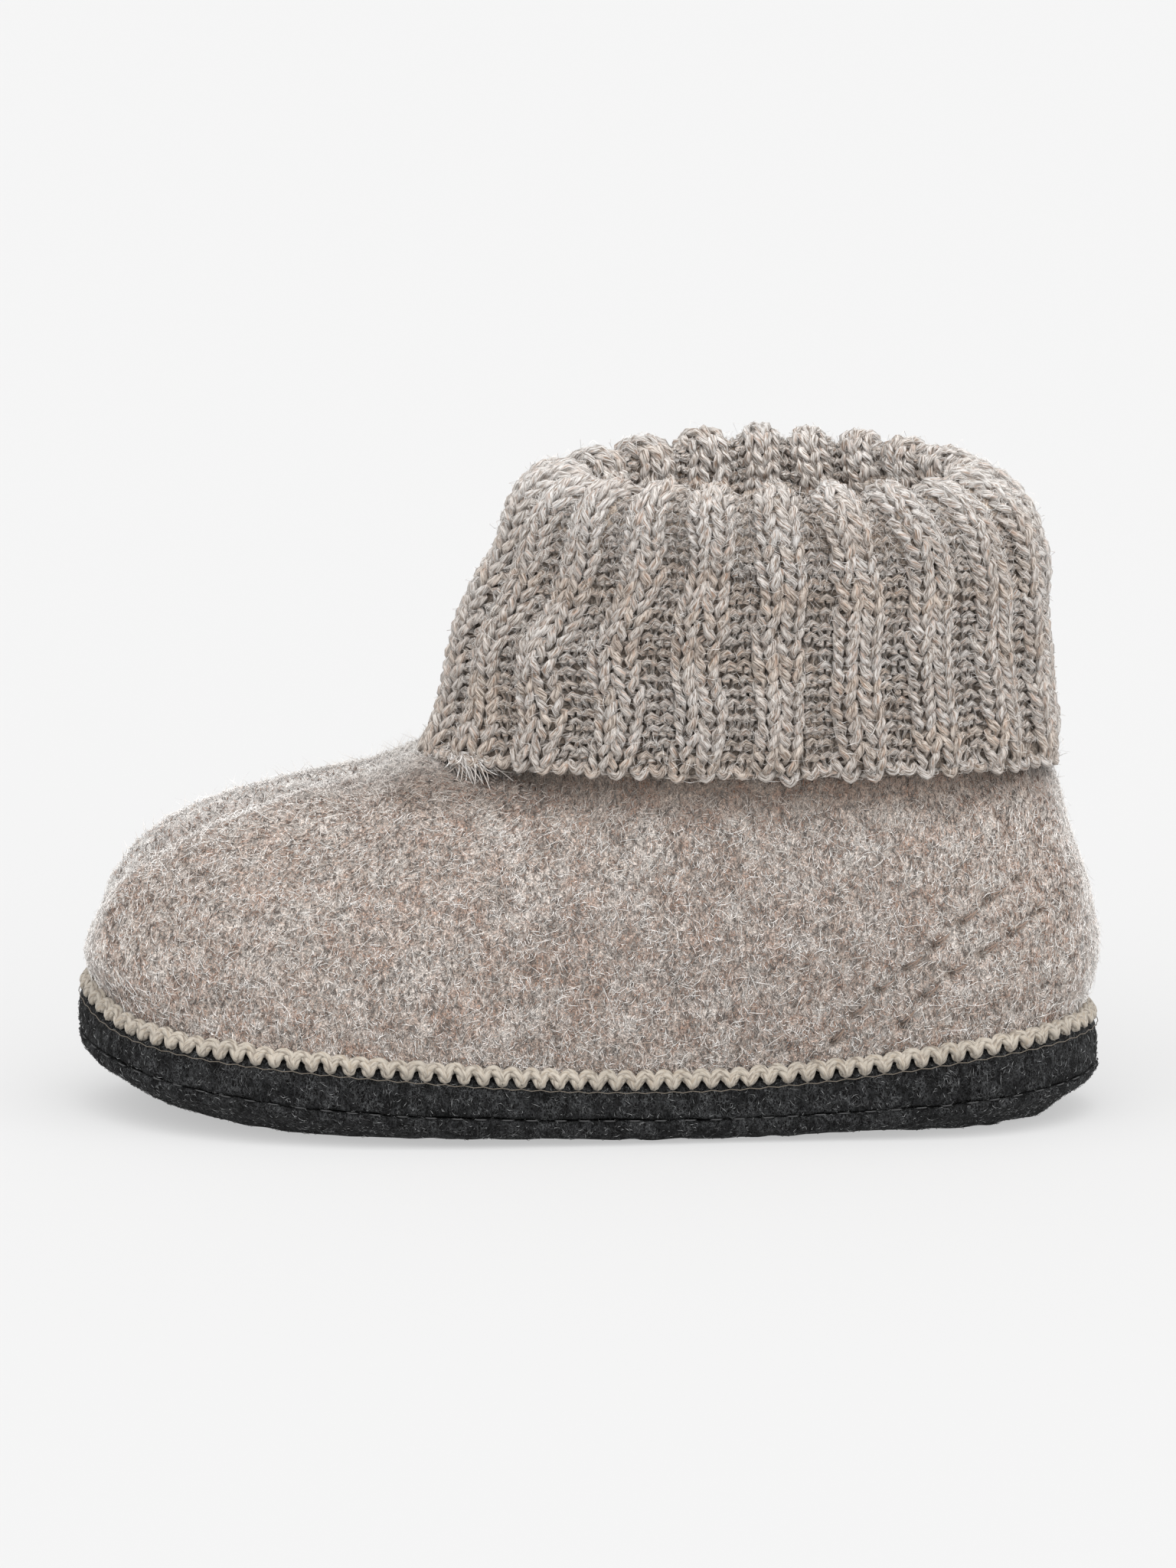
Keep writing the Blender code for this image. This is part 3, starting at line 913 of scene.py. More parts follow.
# %% Relief of the upper
CREASE_X = (-86.0, -80.0, -74.0, -66.0, -55.0, -42.0, -25.0)
CREASE_Y = (2.0, -1.4, -3.9, -4.8, -3.8, 0.2, 2.0)
CREASE_DEPTH = 1.9
CREASE_WIDTH = 3.7
HEEL_LINES = (
    # x and height of points along each line of dimples
    ((41.5, 16.7), (44.8, 21.4), (48.3, 25.2), (57.9, 33.4), (67.3, 41.2), (74.1, 44.9)),
    ((53.3, 20.0), (57.3, 25.2), (61.9, 29.2), (67.3, 32.4), (75.3, 37.4), (80.9, 41.3)),
)
DIMPLE_STEP = 6.1     # mm between dimples
TOE_BULGE = 1.9       # the felt is fuller just above the stitch at the toe
INSTEP_RISE = 1.7     # and where the foot bends, in front of the cuff
HEEL_SWELL = 0.9      # the heel is round below and hollow above
SHRINKAGE = 0.5       # the ground of the felt lies below the tips of its fibres


def hump(distance, width):
    """A bell curve: 1 in the middle, fading over `width`."""
    return np.exp(-((distance / width) ** 2))


def along_line(points, step):
    """Points spaced `step` apart along a chain of straight runs."""
    across, height = np.transpose(points)
    reach = np.append(0, np.cumsum(np.hypot(np.diff(across), np.diff(height))))
    at = np.arange(0.0, reach[-1], step)
    return np.stack([np.interp(at, reach, across), np.interp(at, reach, height)], axis=1)


def nearest(points, targets):
    """Distance from each point to the nearest target, both in the x and z plane."""
    flat = points[..., [0, 2]]
    away = np.full(flat.shape[:-1], np.inf)
    for target in targets:
        away = np.minimum(away, ((flat - target) ** 2).sum(axis=-1))
    return np.sqrt(away)


outer, outer_way = smooth_upper["points"], smooth_upper["out"]
foot_x, foot_y, foot_z = np.moveaxis(outer, 2, 0)
off_crease = foot_y - np.interp(foot_x, CREASE_X, CREASE_Y)
creased = ease(foot_x, -90.0, -84.0) * ease(foot_x, -24.0, -42.0)
creased = creased * ease(outer_way[..., 2], -0.20, 0.15)
banks = hump(off_crease + 9.5, 5.0) + 0.6 * hump(off_crease - 9.0, 5.0)
relief = creased * (0.5 * banks - CREASE_DEPTH * hump(off_crease, CREASE_WIDTH)) - SHRINKAGE
relief += TOE_BULGE * hump(foot_z - 27.0, 4.8) * ease(foot_x, -70.0, -84.0)
vamp = INSTEP_RISE * hump(foot_x + 28.0, 6.5) - 0.5 * ease(foot_x, -25.0, -45.0)
relief += vamp * ease(outer_way[..., 2], 0.3, 0.7)
heel = hump(foot_z - 29.0, 7.0) - hump(foot_z - 49.0, 6.0)
relief += HEEL_SWELL * heel * ease(foot_x, 66.0, 82.0)

dimples = np.zeros(outer.shape[:-1])
for line in HEEL_LINES:
    groove = nearest(outer, along_line(line, 0.5))
    dimple = hump(nearest(outer, along_line(line, DIMPLE_STEP)), 0.75)
    relief += -0.25 * hump(groove, 0.9) - 0.8 * dimple + 0.2 * hump(groove - 2.4, 1.3)
    # the dimples' mask, which only sets their painted shade
    dimples = np.maximum(dimples, np.maximum(1.15 * dimple, 0.12 * hump(groove, 0.9)))

row_number = np.arange(len(outer))[:, None]
upright = outer * np.array([1.0, 1.0, 0.55])
relief += 0.30 * lumps(outer, 9.0, 11) + 0.15 * lumps(upright, 2.4, 12)
relief *= ease(row_number, 0, 4) * ease(row_number, SIDE_ROWS + 2, SIDE_ROWS - 2)
felt_points = outer + outer_way * relief[..., None]
felt_sheet = make_sheet(felt_points)
print("deepest and highest relief:", round(relief.min(), 2), round(relief.max(), 2), "mm")

# %% [markdown]
# ### Painted shade and nap
# The sheet also keeps a painted shade: a colour that darkens the dimples, the trough of
# the crease and the felt under the hem, where shadow falls, and a painted highlight that
# lightens the crest beside the crease. A second layer, the nap, lets the fibres stand
# higher on top of the foot, where nothing rubs.

# %% Painted shade of the upper
# painted shade in the dimples of the heel, and faintly along their lines
DIMPLE_SHADE = np.array([0.66, 0.74, 0.80])
# painted shadow of the cuff's hem on the felt under it
HEM_SHADE = np.array([0.51, 0.57, 0.61])

# painted highlight on the crest beside the crease, painted shade in its trough
crease_light = 0.08 * hump(off_crease + 3.2, 2.0) - 0.17 * hump(off_crease - 0.8, 3.0)
under_hem = ease(felt_points[..., 2:], 53.0, 62.0)
shade = 1.0 - dimples[..., None] * DIMPLE_SHADE
shade *= 1.0 + (creased * crease_light)[..., None]
shade *= 1.0 - under_hem * HEM_SHADE
felt_sheet["shade"] = shade
felt_sheet["nap"] = 1.0 + 1.3 * ease(outer_way[..., 2:], 0.25, 0.8)
print("darkest shade:", round(shade.min(), 2))

# %% [markdown]
# ### Gathering stitches
# Between the dimples the gathering yarn comes up in two strands that cross like a rope.
# They are laid on the felt by looking up the nearest points of the sheet.


# %% Gathering stitches
def on_side(x, height, side):
    """Points of the felt with this x and height, on one side, and its outward way there."""
    mask = (felt_points[..., 1] * side > 0) & (row_number < SIDE_ROWS)
    known, ways = felt_points[mask], felt_sheet["out"][mask]
    x, height = np.ravel(x), np.ravel(height)
    away = (known[:, 0] - x[:, None]) ** 2 + (known[:, 2] - height[:, None]) ** 2 + 0.02
    picked = np.argpartition(away, 6, axis=1)[:, :6]
    weight = 1 / np.take_along_axis(away, picked, axis=1)
    weight = (weight / weight.sum(axis=1, keepdims=True))[..., None]
    y = (known[picked, 1][..., None] * weight).sum(axis=1)
    return np.column_stack([x, y, height]), unit((ways[picked] * weight).sum(axis=1))


GATHER_SHARE = np.linspace(0.02, 0.62, 6)     # of the way from one dimple to the next
GATHER_TONE = (0.21, 0.145, 0.11)
GATHER_SWING = 0.38   # mm to both sides of the line
gather_rise = 0.52 * np.sin(np.pi * GATHER_SHARE / 0.64) - 0.10
paths, ways = [], []
for line in HEEL_LINES:
    holes = along_line(line, DIMPLE_STEP)
    step = np.diff(holes, axis=0)[:, None]
    aside = unit(np.stack([-step[..., 1], step[..., 0]], axis=2))
    for strand in (-1, 1):
        cross = strand * GATHER_SWING * np.cos(np.pi * GATHER_SHARE)[:, None]
        flat = holes[:-1, None] + step * GATHER_SHARE[:, None] + aside * cross
        for side in (-1, 1):
            laid, way = on_side(flat[..., 0], flat[..., 1], side)
            way = way.reshape(*flat.shape[:2], 3)
            paths.append(laid.reshape(way.shape) + way * gather_rise[:, None])
            ways.append(way)
paths, ways = np.concatenate(paths), np.concatenate(ways)
add_tubes(
    "gathering_stitches", paths, 0.15, ways, 4, wool_fibres, GATHER_TONE, ways
)

# %% [markdown]
# ### The shell
# The felt as one closed mesh: up the outside and down the inner wall. The inner wall
# and the flat top of the collar are hidden, so they keep only a few rows.

# %% Upper shell
kept_rows = np.append(np.arange(len(outer) - 1, 0, -INNER_EVERY), 0)
inner = (outer - outer_way * WALL)[kept_rows]
inner[-1, :, 2] = outer[0, :, 2]
inner[0, :, 2] = COLLAR_TOP
shell = np.concatenate([felt_points, inner])
faces, places = grid_faces(len(shell), AROUND_UPPER, wrap_rows=True)
# the outside keeps the painted shade of the sheet as its tint
shell_shade = np.concatenate([felt_sheet["shade"], np.ones_like(inner)])
shell_way = np.concatenate([outer_way, outer_way[kept_rows]])
make_piece(
    "felt_upper", shell.reshape(-1, 3), [faces], heather_felt,
    {"OFBake": [places]}, shell_shade.reshape(-1, 3), ["upper"], shell_way.reshape(-1, 3),
)

# %% [markdown]
# ### Fibres of the upper
# A felt's surface is its fibres: most lie in all directions and curl, some rise out of
# it. Each is a thin tube with three sides, pointed at both ends. They are cheap, so
# tens of thousands of them cover the whole shell. Their colours come from the same
# heather: pale, grey, beige, brown and a few dark ones. A lift says how high each
# station of a fibre stands, and a heading which way the fibre runs.


# %% Fibre helpers
PATCHINESS = 0.24     # how strongly fibres of one tone lie together


def fibre_tints(chance, where, tones, shares, patchiness):
    """One tone for each fibre.

    The tones run from pale to dark. A slow noise moves the draw, so that fibres
    of one tone lie together as they do in carded wool.
    """
    draw = chance.uniform(0, 1, len(where)) + patchiness * lumps(where, 2.6, 91)
    tone = tones[np.searchsorted(np.cumsum(shares)[:-1], draw)]
    return tone * chance.uniform(0.85, 1.12, (len(where), 1))


def add_fibres(name, sheet, count, seed, length, curl, stations, lift, radius, look):
    """Fibres on a sheet as one piece; `lift` says how high each station stands."""
    material, slot, tones, shares, density, heading = look
    path, out, spot, chance = lay_fibres(
        sheet, count, seed, length, curl, stations, density, heading
    )
    # fibres take the painted shade of the sheet where they lie
    shade = read_sheet(sheet["shade"], *spot) if "shade" in sheet else 1.0
    nap = read_sheet(sheet["nap"], *spot) if "nap" in sheet else 1.0
    height = nap * lift(chance, count, np.linspace(0.0, 1.0, stations))
    path = path + out * height[..., None]
    thick = radius * chance.uniform(0.75, 1.25, (count, 1))
    patchiness = PATCHINESS if heading else 0.05
    tones_here = fibre_tints(chance, path[:, 1], np.array(tones), shares, patchiness)
    add_tubes(name, path, thick, out, 3, material, tones_here * shade, out)


def arch(lowest, highest, foot):
    """A lift whose two ends are at `foot` and whose middle stands proud of it."""
    def lift(chance, count, share):
        top = chance.uniform(lowest, highest, (count, 1))
        return top * np.sin(np.pi * share) + foot
    return lift


def straying(chance, count, share):
    """A lift with one end in the felt and the other one up in the air."""
    return chance.uniform(0.4, 1.6, (count, 1)) * share ** 1.2 - 0.1


def half_sunk(chance, count, share):
    """A level lift: a dark fleck of painted shade, seen between the fibres above it."""
    return chance.uniform(0.05, 0.32, (count, 1)) + 0 * share


def square_to_foot(spread):
    """Headings across the length of the foot, as the wool was knitted, give or take."""
    def heading(chance, row, col):
        sideways = unit(felt_sheet["across"])[row, col, 0]
        upward = unit(felt_sheet["up"])[row, col, 0]
        return np.arctan2(sideways, -upward) + chance.normal(0, spread, len(row))
    return heading


# %% [markdown]
# ### Five coats of fibres
# The lying fibres are two pieces, to keep each one light. Dark flecks of painted shade
# fill the gaps between them, long fine hairs bow over them, and stray ones stand up in
# the air.

# %% Felt fibres
FIBRE_TONES = (
    (0.90, 0.865, 0.84), (0.70, 0.63, 0.585), (0.55, 0.40, 0.325),
    (0.29, 0.16, 0.107), (0.07, 0.046, 0.036),
)
GAP_SHADE_TONES = ((0.20, 0.125, 0.09), (0.12, 0.08, 0.06), (0.075, 0.06, 0.052))
HALO_TONES = ((0.90, 0.885, 0.865), (0.72, 0.68, 0.64), (0.46, 0.36, 0.29))
LYING_FIBRES = 20_300     # in each of two pieces
GAP_SHADE_FLECKS = 8_300
HAIR_ARCS = 3_200
STRAY_FIBRES = 5_500

on_foot = np.where(np.arange(len(felt_points)) < SIDE_ROWS - 1, 1.0, 0.0)[:, None]
lying = (
    1.9, 2.0, 3, arch(0.10, 0.45, -0.06), 0.068,
    FIBRE_TONES, (0.34, 0.23, 0.17, 0.15, 0.11), square_to_foot(0.8),
)
halo = (HALO_TONES, (0.55, 0.33, 0.12), None)
for name, count, seed, length, curl, stations, lift, radius, tones, shares, heading in (
    ("felt_fibres_1", LYING_FIBRES, 21, *lying),
    ("felt_fibres_2", LYING_FIBRES, 22, *lying),
    # dark flecks of painted shade in the gaps between the lying fibres
    ("felt_gap_flecks", GAP_SHADE_FLECKS, 33, 1.2, 0.6, 3, half_sunk, 0.14,
     GAP_SHADE_TONES, (0.4, 0.4, 0.2), square_to_foot(0.55)),
    ("felt_hair_arcs", HAIR_ARCS, 34, 3.8, 2.2, 4, arch(0.2, 0.5, 0.05), 0.042, *halo),
    ("felt_stray_fibres", STRAY_FIBRES, 31, 3.4, 1.8, 3, straying, 0.048, *halo),
):
    look = (wool_fibres, "heather_felt", tones, shares, on_foot, heading)
    add_fibres(name, felt_sheet, count, seed, length, curl, stations, lift, radius, look)

# %% [markdown]
# ## Cuff
# The cuff is a ribbed tube, knitted on from the collar, pulled up and turned down over
# itself. So its fabric side shows outside and again inside the opening. The profile
# below follows the middle of the fabric from the hem outside, up over the fold and down
# to the collar. Each row of it is a level ellipse. On the ellipses stand the ribs, as a
# wave round the cuff. They lean and bend a little, as a turned cuff crumples at the
# front, where the tube is narrower above than below.

# %% Shape of the cuff
RIBS = 20
WALES = RIBS * 4      # columns of stitches, two knit and two purl ones to a rib
STITCH_ROWS = 40
CUFF_PROFILE = (
    # height  front   back  half width
    (64.2, -27.2, 80.0, 36.4), (73.5, -23.2, 78.0, 36.0), (84.0, -21.8, 77.2, 35.4),
    (95.0, -15.5, 77.0, 34.6), (104.0, -12.9, 74.0, 34.0), (109.4, -10.3, 69.4, 33.2),
    (111.3, -5.4, 64.7, 31.0), (110.0, -2.0, 62.6, 28.6), (106.0, -2.4, 64.4, 28.4),
    (98.0, -7.4, 69.6, 29.7), (88.0, -13.0, 72.4, 30.6), (78.0, -17.4, 74.2, 31.4),
    (70.4, -20.5, 75.9, 32.9),
)
CUFF_COLUMNS = 520
CUFF_LEVELS = 240
HEM_HALF_LENGTH, HEM_HALF_WIDTH = 52.7, 36.5    # of the ellipse that spaces the ribs
RIB_PLACES = (0.0, 0.305, 0.61, 0.805, 1.0)   # two wide knit columns, two narrow purl ones
RIB_RELIEF = 1.22
RIB_SHIFT = 0.0166    # of a turn, from the heel to the first rib
BEND_REACH = 0.010    # how far the ribs bend at the front, as a part of a turn
INNER_LAG = 0.017     # the ribs lie further round on the inner side of the foot
OUTER_LEAN = 0.012    # and lean towards the toe on the outer side


def cuff_lines():
    """The profile at evenly spaced levels, smoothed over a millimetre or two."""
    profile = np.array(CUFF_PROFILE)
    gap = np.linalg.norm(np.diff(profile[:, [0, 3]], axis=0), axis=1)
    reach = np.append(0, np.cumsum(gap)) / gap.sum()
    level = np.linspace(0, 1, CUFF_LEVELS)
    lines = np.stack([np.interp(level, reach, line) for line in profile.T], axis=1)
    for _ in range(30):
        lines[1:-1] = (lines[:-2] + 2 * lines[1:-1] + lines[2:]) / 4
    return lines, gap.sum()


def even_angle(turn):
    """The ellipse's angle at a part of its length, so that all ribs are equally wide."""
    angle = np.linspace(0, 2 * np.pi, 721)
    step = np.hypot(HEM_HALF_LENGTH * np.sin(angle), HEM_HALF_WIDTH * np.cos(angle))
    reach = np.append(0, np.cumsum((step[1:] + step[:-1]) / 2))
    return np.interp(turn, reach / reach[-1], angle)


def cuff_bend(turn, share):
    """How far the columns lean towards the toe, as a part of a turn.

    `share` runs from 0 at the hem to 1 at the inner end. The bends are bell
    curves round the cuff times bell curves up it, with two small waves added.
    """
    turn = np.mod(turn, 1.0)
    near = hump(turn - 0.40, 0.085) * hump(share - 0.19 - 0.9 * (0.40 - turn), 0.085)
    far = hump(turn - 0.63, 0.06) * hump(share - 0.24, 0.10)
    sway = 0.0010 * np.sin(2 * np.pi * (3.1 * share + 5 * turn))
    sway += 0.0008 * np.sin(2 * np.pi * (5.3 * share + 11 * turn + 0.3))
    lag = INNER_LAG * hump(turn - 0.75, 0.13)
    lean = OUTER_LEAN * hump(turn - 0.25, 0.17) * ease(share, 0.05, 0.45)
    return BEND_REACH * (near - 0.6 * far) + lag + lean + sway * ease(share, 0.0, 0.12)


lines, cuff_length = cuff_lines()
height, front, back, half_width = (line[:, None] for line in lines.T)
cuff_turn = np.arange(CUFF_COLUMNS) / CUFF_COLUMNS
level_share = np.linspace(0, 1, CUFF_LEVELS)[:, None]
angle = even_angle(cuff_turn)
to_heel, to_outer = np.cos(angle), np.sin(angle)
to_inner = np.maximum(-to_outer, 0.0)
crown = 0.65 * to_outer ** 2 - 0.6 * to_heel ** 2
crown += to_inner * (1.3 * to_inner + 1.25 * to_heel - 0.2)
near_hem = ease(level_share, 0.035, 0.0)
tongue = 1.3 * near_hem * np.maximum(-to_heel, 0.0) ** 6
drop = tongue + 2.7 * near_hem * np.maximum(to_heel, 0.0) ** 4
cuff_points = np.stack(
    [
        (back + front) / 2 + (back - front) / 2 * to_heel - tongue,
        -half_width * to_outer,
        height + crown * ease(height, 82.0, 106.0) - drop,
    ],
    axis=2,
)
cuff_smooth = make_sheet(cuff_points)
straight_turn = cuff_turn - cuff_bend(cuff_turn, level_share) - RIB_SHIFT
rib_angle = 2 * np.pi * (straight_turn * RIBS - RIB_PLACES[1])
rib_wave = np.cos(rib_angle) - 0.12 * np.cos(3 * rib_angle)
rib_height = RIB_RELIEF * rib_wave * ease(level_share, -0.03, 0.06)
rib_height *= 1.0 - 0.4 * ease(level_share, 0.55, 0.68) + 0.35 * hump(level_share - 0.46, 0.09)
rib_height += 0.35 * lumps(cuff_points, 8.0, 81)
cuff_sheet = make_sheet(cuff_points + cuff_smooth["out"] * rib_height[..., None])
print("cuff fabric:", round(cuff_length, 1), "mm from hem to collar")

# %% [markdown]
# ### Stitches
# Each stitch is one loop of yarn: it comes up through the loop below, swings out to
# both sides and closes in a head. With t as its turn, the loop is t / 2 pi sideways
# plus a sway of sin 2t, -cos t upwards, and -cos 2t outwards, so its legs lie in front
# and its head and feet behind. That shows the V of a knit column. A purl stitch is the
# same loop seen from behind, so the heads stand in front as small waves. The stations
# along a loop gather where it shows, so eleven of them are enough.

# %% Knitted stitches
YARN_TONES = np.array([
    (0.525, 0.485, 0.45), (0.50, 0.46, 0.427), (0.505, 0.442, 0.388),
    (0.435, 0.372, 0.323), (0.55, 0.52, 0.495),
])
YARN_SHARES = (0.28, 0.30, 0.20, 0.10, 0.12)
FOLD_FUZZ_AND_HIGHLIGHT = np.array([0.74, 0.735, 0.73])     # pale fuzz along the fold, and a painted highlight where its top catches the light
INSIDE_GLOW = 0.56    # the yarn past the fold, inside the cuff, is made this share paler
TONE_RUN = 5          # stitches in a row that share the yarn's tone
run_count = WALES * STITCH_ROWS // TONE_RUN + 1
tone_runs = np.random.default_rng(80).choice(len(YARN_TONES), run_count, p=YARN_SHARES)


def wale_turn(wale, share):
    """The place round the cuff of a column number, which may lie between columns."""
    within = np.interp(np.mod(wale, 4), range(5), RIB_PLACES)
    turn = (np.floor(wale / 4) + within) / RIBS + RIB_SHIFT
    return turn + cuff_bend(turn, share)


def add_stitches(name, first_wales, front, reach, shape, sides, stations, seed):
    """All the stitches of the given columns of each rib, as one piece.

    `front` is 1 to show the heads and -1 to show the legs, `reach` is how far a
    loop spreads up and down in rows, and `shape` holds the radius of a leg and of
    a head, how far they lie before and behind the middle of the fabric, and the
    swing to both sides.
    """
    leg, head, sway, swing = shape
    chance = np.random.default_rng(seed)
    wales = (np.arange(RIBS)[:, None] * 4 + np.array(first_wales)).ravel()
    wale, row = np.meshgrid(wales, np.arange(STITCH_ROWS), indexing="ij")
    wale, row = wale.reshape(-1, 1), row.reshape(-1, 1)
    count = len(wale)
    step = np.linspace(-0.1, 2.1, stations)
    t = np.pi * step - front * 0.25 * np.sin(2 * np.pi * step)
    sideways = (t + swing * np.sin(2 * t)) / (2 * np.pi)
    upward = -reach * np.cos(t) * chance.uniform(0.92, 1.08, (count, 1))
    raised = front * sway * np.cos(2 * t) * chance.uniform(0.8, 1.2, (count, 1))
    slip = chance.normal(0, 0.07, (count, 1))
    rise = (0.075 + 0.025 * front) * chance.normal(0, 1, (count, 1))
    rise = rise + 0.10 * np.sin(wale * 2.4 + row * 0.21)
    share = np.clip((row + 1.05 + upward + rise) / (STITCH_ROWS + 1.0), 0.0, 1.0)
    columns = wale_turn(wale + sideways + slip, share) * CUFF_COLUMNS
    levels = share * (CUFF_LEVELS - 1)
    out = read_sheet(cuff_sheet["out"], columns, levels)
    path = read_sheet(cuff_sheet["points"], columns, levels) + out * raised[..., None]
    thick = leg + (head - leg) * np.cos(t) ** 2
    thick = thick * chance.uniform(0.86, 1.12, (count, 1))
    run = (row[:, 0] * WALES + wale[:, 0]) // TONE_RUN
    tone = YARN_TONES[tone_runs[run]] * chance.uniform(0.93, 1.07, (count, 1))
    # along the fold the yarn is paler: pale fuzz and a painted highlight
    fuzz_and_highlight = (0.32 - 0.08 * front) * hump(row / STITCH_ROWS - 0.49, 0.09)
    tone = tone + (FOLD_FUZZ_AND_HIGHLIGHT - tone) * fuzz_and_highlight
    tone = tone * (1.0 + INSIDE_GLOW * ease(row / STITCH_ROWS, 0.52, 0.62))
    ways = read_sheet(cuff_smooth["out"], columns, levels)
    add_tubes(name, path, thick, out, sides, rib_yarn, tone, ways, with_yarn=True)


add_stitches("knit_stitches", (0, 1), -1.0, 0.98, (0.88, 0.62, 0.60, 1.62), 5, 11, 82)
add_stitches("purl_stitches", (2, 3), 1.0, 0.68, (0.50, 0.68, 0.66, 1.8), 4, 9, 83)

# %% [markdown]
# ### Inside of the fabric
# Behind its stitches a knit is a dark mesh of the same yarn. One thin closed sheet a
# little below the stitches stands for all of it, so no daylight shows between loops.
# It lies nearer the stitches at the fold, where painted light makes it paler against the
# shade between the loops, and it is paler inside too.

# %% Ground of the cuff
GROUND_EVERY = 4      # columns and levels of the sheet for one of the ground
BACK_EVERY = 3        # rows of the ground for one of its hidden back
GROUND_TONE = np.array([0.66, 0.60, 0.55])
ground_rows = np.append(np.arange(0, CUFF_LEVELS - 1, GROUND_EVERY), CUFF_LEVELS - 1)
picked = np.ix_(ground_rows, np.arange(0, CUFF_COLUMNS, GROUND_EVERY))
at_fold = hump(level_share - 0.50, 0.09)
sunk = (0.45 - 0.35 * at_fold)[..., None]
front_wall = (cuff_sheet["points"] - sunk * cuff_sheet["out"])[picked]
back_wall = (cuff_sheet["points"] - 1.3 * cuff_sheet["out"])[picked][::-BACK_EVERY]
ground = np.concatenate([front_wall, back_wall])
# painted light at the fold, against the shade between the loops; paler inside too
light = (1.0 + 1.9 * at_fold + ease(level_share, 0.52, 0.62))[ground_rows]
light = np.concatenate([light, light[::-BACK_EVERY]])[..., None]
ground_tint = light * GROUND_TONE * np.ones_like(ground)
faces, places = grid_faces(len(ground), ground.shape[1], wrap_rows=True)
make_piece(
    "cuff_ground", ground.reshape(-1, 3), [faces], insole_felt,
    {"OFBake": [places]}, ground_tint.reshape(-1, 3), ["cuff"],
)

# %% [markdown]
# ### Hem
# The last row is cast off: each stitch is drawn over the next, which leaves a chain of
# slanting links along the edge. It bows down under the knit columns.

# %% Hem chain
chance = np.random.default_rng(84)
link = np.arange(WALES)[:, None]
link_share = np.linspace(0.0, 1.0, 9)
link_span = np.where(link % 4 < 2, 0.80, 1.16)     # narrow columns have longer links
link_wale = link + 0.5 + link_span * (link_share - 0.5) + chance.normal(0, 0.06, link.shape)
link_columns = wale_turn(link_wale, 0.0 * link_wale) * CUFF_COLUMNS
link_levels = 0.4 + 0 * link_columns
link_out = read_sheet(cuff_sheet["out"], link_columns, link_levels)
link_path = read_sheet(cuff_sheet["points"], link_columns, link_levels)
link_path = link_path + link_out * (0.85 * np.sin(np.pi * link_share) - 0.55)[:, None]
bow = 0.5 + 0.5 * np.cos(np.pi / 2 * (link_wale - 1))
link_path[..., 2] += 2.2 * np.abs(2 * link_share - 1) ** 1.7 + 0.2 - 0.5 * bow
link_path[..., 2] += chance.normal(0, 0.18, link.shape)
link_thick = 0.76 - 0.12 * (2 * link_share - 1) ** 2
link_tone = YARN_TONES[chance.choice(len(YARN_TONES), WALES, p=YARN_SHARES)]
add_tubes(
    "hem_chain", link_path, link_thick, link_out, 6, rib_yarn, link_tone,
    link_out, with_yarn=True,
)

# %% [markdown]
# ### Hairs of the cuff
# Knitted wool is hairier than felt, because the washing did not bind all its fibres.
# Most of them stand on the fold, where the fabric is stretched and rubbed.

# %% Cuff hairs
CUFF_HAIR_TONES = np.array([(0.80, 0.775, 0.75), (0.64, 0.59, 0.55), (0.43, 0.34, 0.28)])
CUFF_HAIRS = 11_400
hairiness = 0.25 + 0.75 * ease(level_share, 0.62, 0.50) + 1.8 * hump(level_share - 0.47, 0.10)
hairiness = hairiness + 0 * cuff_turn


def knit_lift(chance, count, share):
    """From between the stitches up over them and down again, some standing off."""
    top = chance.gamma(2.0, 0.32, (count, 1))
    return 0.75 + top * np.sin(np.pi * share ** 0.8)


cuff_look = (wool_fibres, "rib_knit", CUFF_HAIR_TONES, (0.5, 0.35, 0.15), hairiness, None)
add_fibres("cuff_hairs", cuff_sheet, CUFF_HAIRS, 85, 3.2, 1.7, 3, knit_lift, 0.040, cuff_look)

# %% [markdown]
# ### Loose end of the yarn
# Casting off left an end of yarn hanging from the hem near the toe, and it came apart
# into its fibres. They start together, spread like a fan and turn a little on their way.

# %% Loose end of the yarn
END_HAIRS = 140
END_TURN = 0.435      # where it hangs, as a part of a turn round the cuff
END_SLOPE = -0.60     # radians below the level, towards the heel
chance = np.random.default_rng(86)
share = np.linspace(0.0, 1.0, 5)
hairs = (END_HAIRS, 1)
root_columns = (END_TURN + chance.normal(0, 0.009, hairs)) * CUFF_COLUMNS + 0 * share
root_levels = chance.uniform(0.5, 4.0, hairs) + 0 * share
end_out = read_sheet(cuff_sheet["out"], root_columns, root_levels)
end_path = read_sheet(cuff_sheet["points"], root_columns, root_levels)
slope = END_SLOPE + chance.normal(0, 0.35, hairs) + chance.normal(0, 0.5, hairs) * share
reach = chance.uniform(2.0, 8.5, hairs) * share
end_path[..., 0] += reach * np.cos(slope)
end_path[..., 2] += reach * np.sin(slope)
end_path += end_out * (1.0 + chance.uniform(-0.2, 0.9, hairs) * share)[..., None]
end_tone = CUFF_HAIR_TONES[chance.choice(3, END_HAIRS, p=(0.4, 0.4, 0.2))]
add_tubes(
    "loose_yarn_end", end_path, 0.11, end_out, 3, wool_fibres, end_tone, end_out
)

# %% [markdown]
# ## Sole
# Two layers of thick charcoal felt are glued and stitched together, so their edges are
# round and a groove runs between them. Each layer is a stack of rings round the shoe.
# The rings are split into short steps and smoothed, lumps of felt push them in and out,
# and a ladder of faces from heel to toe closes the stack at both ends.

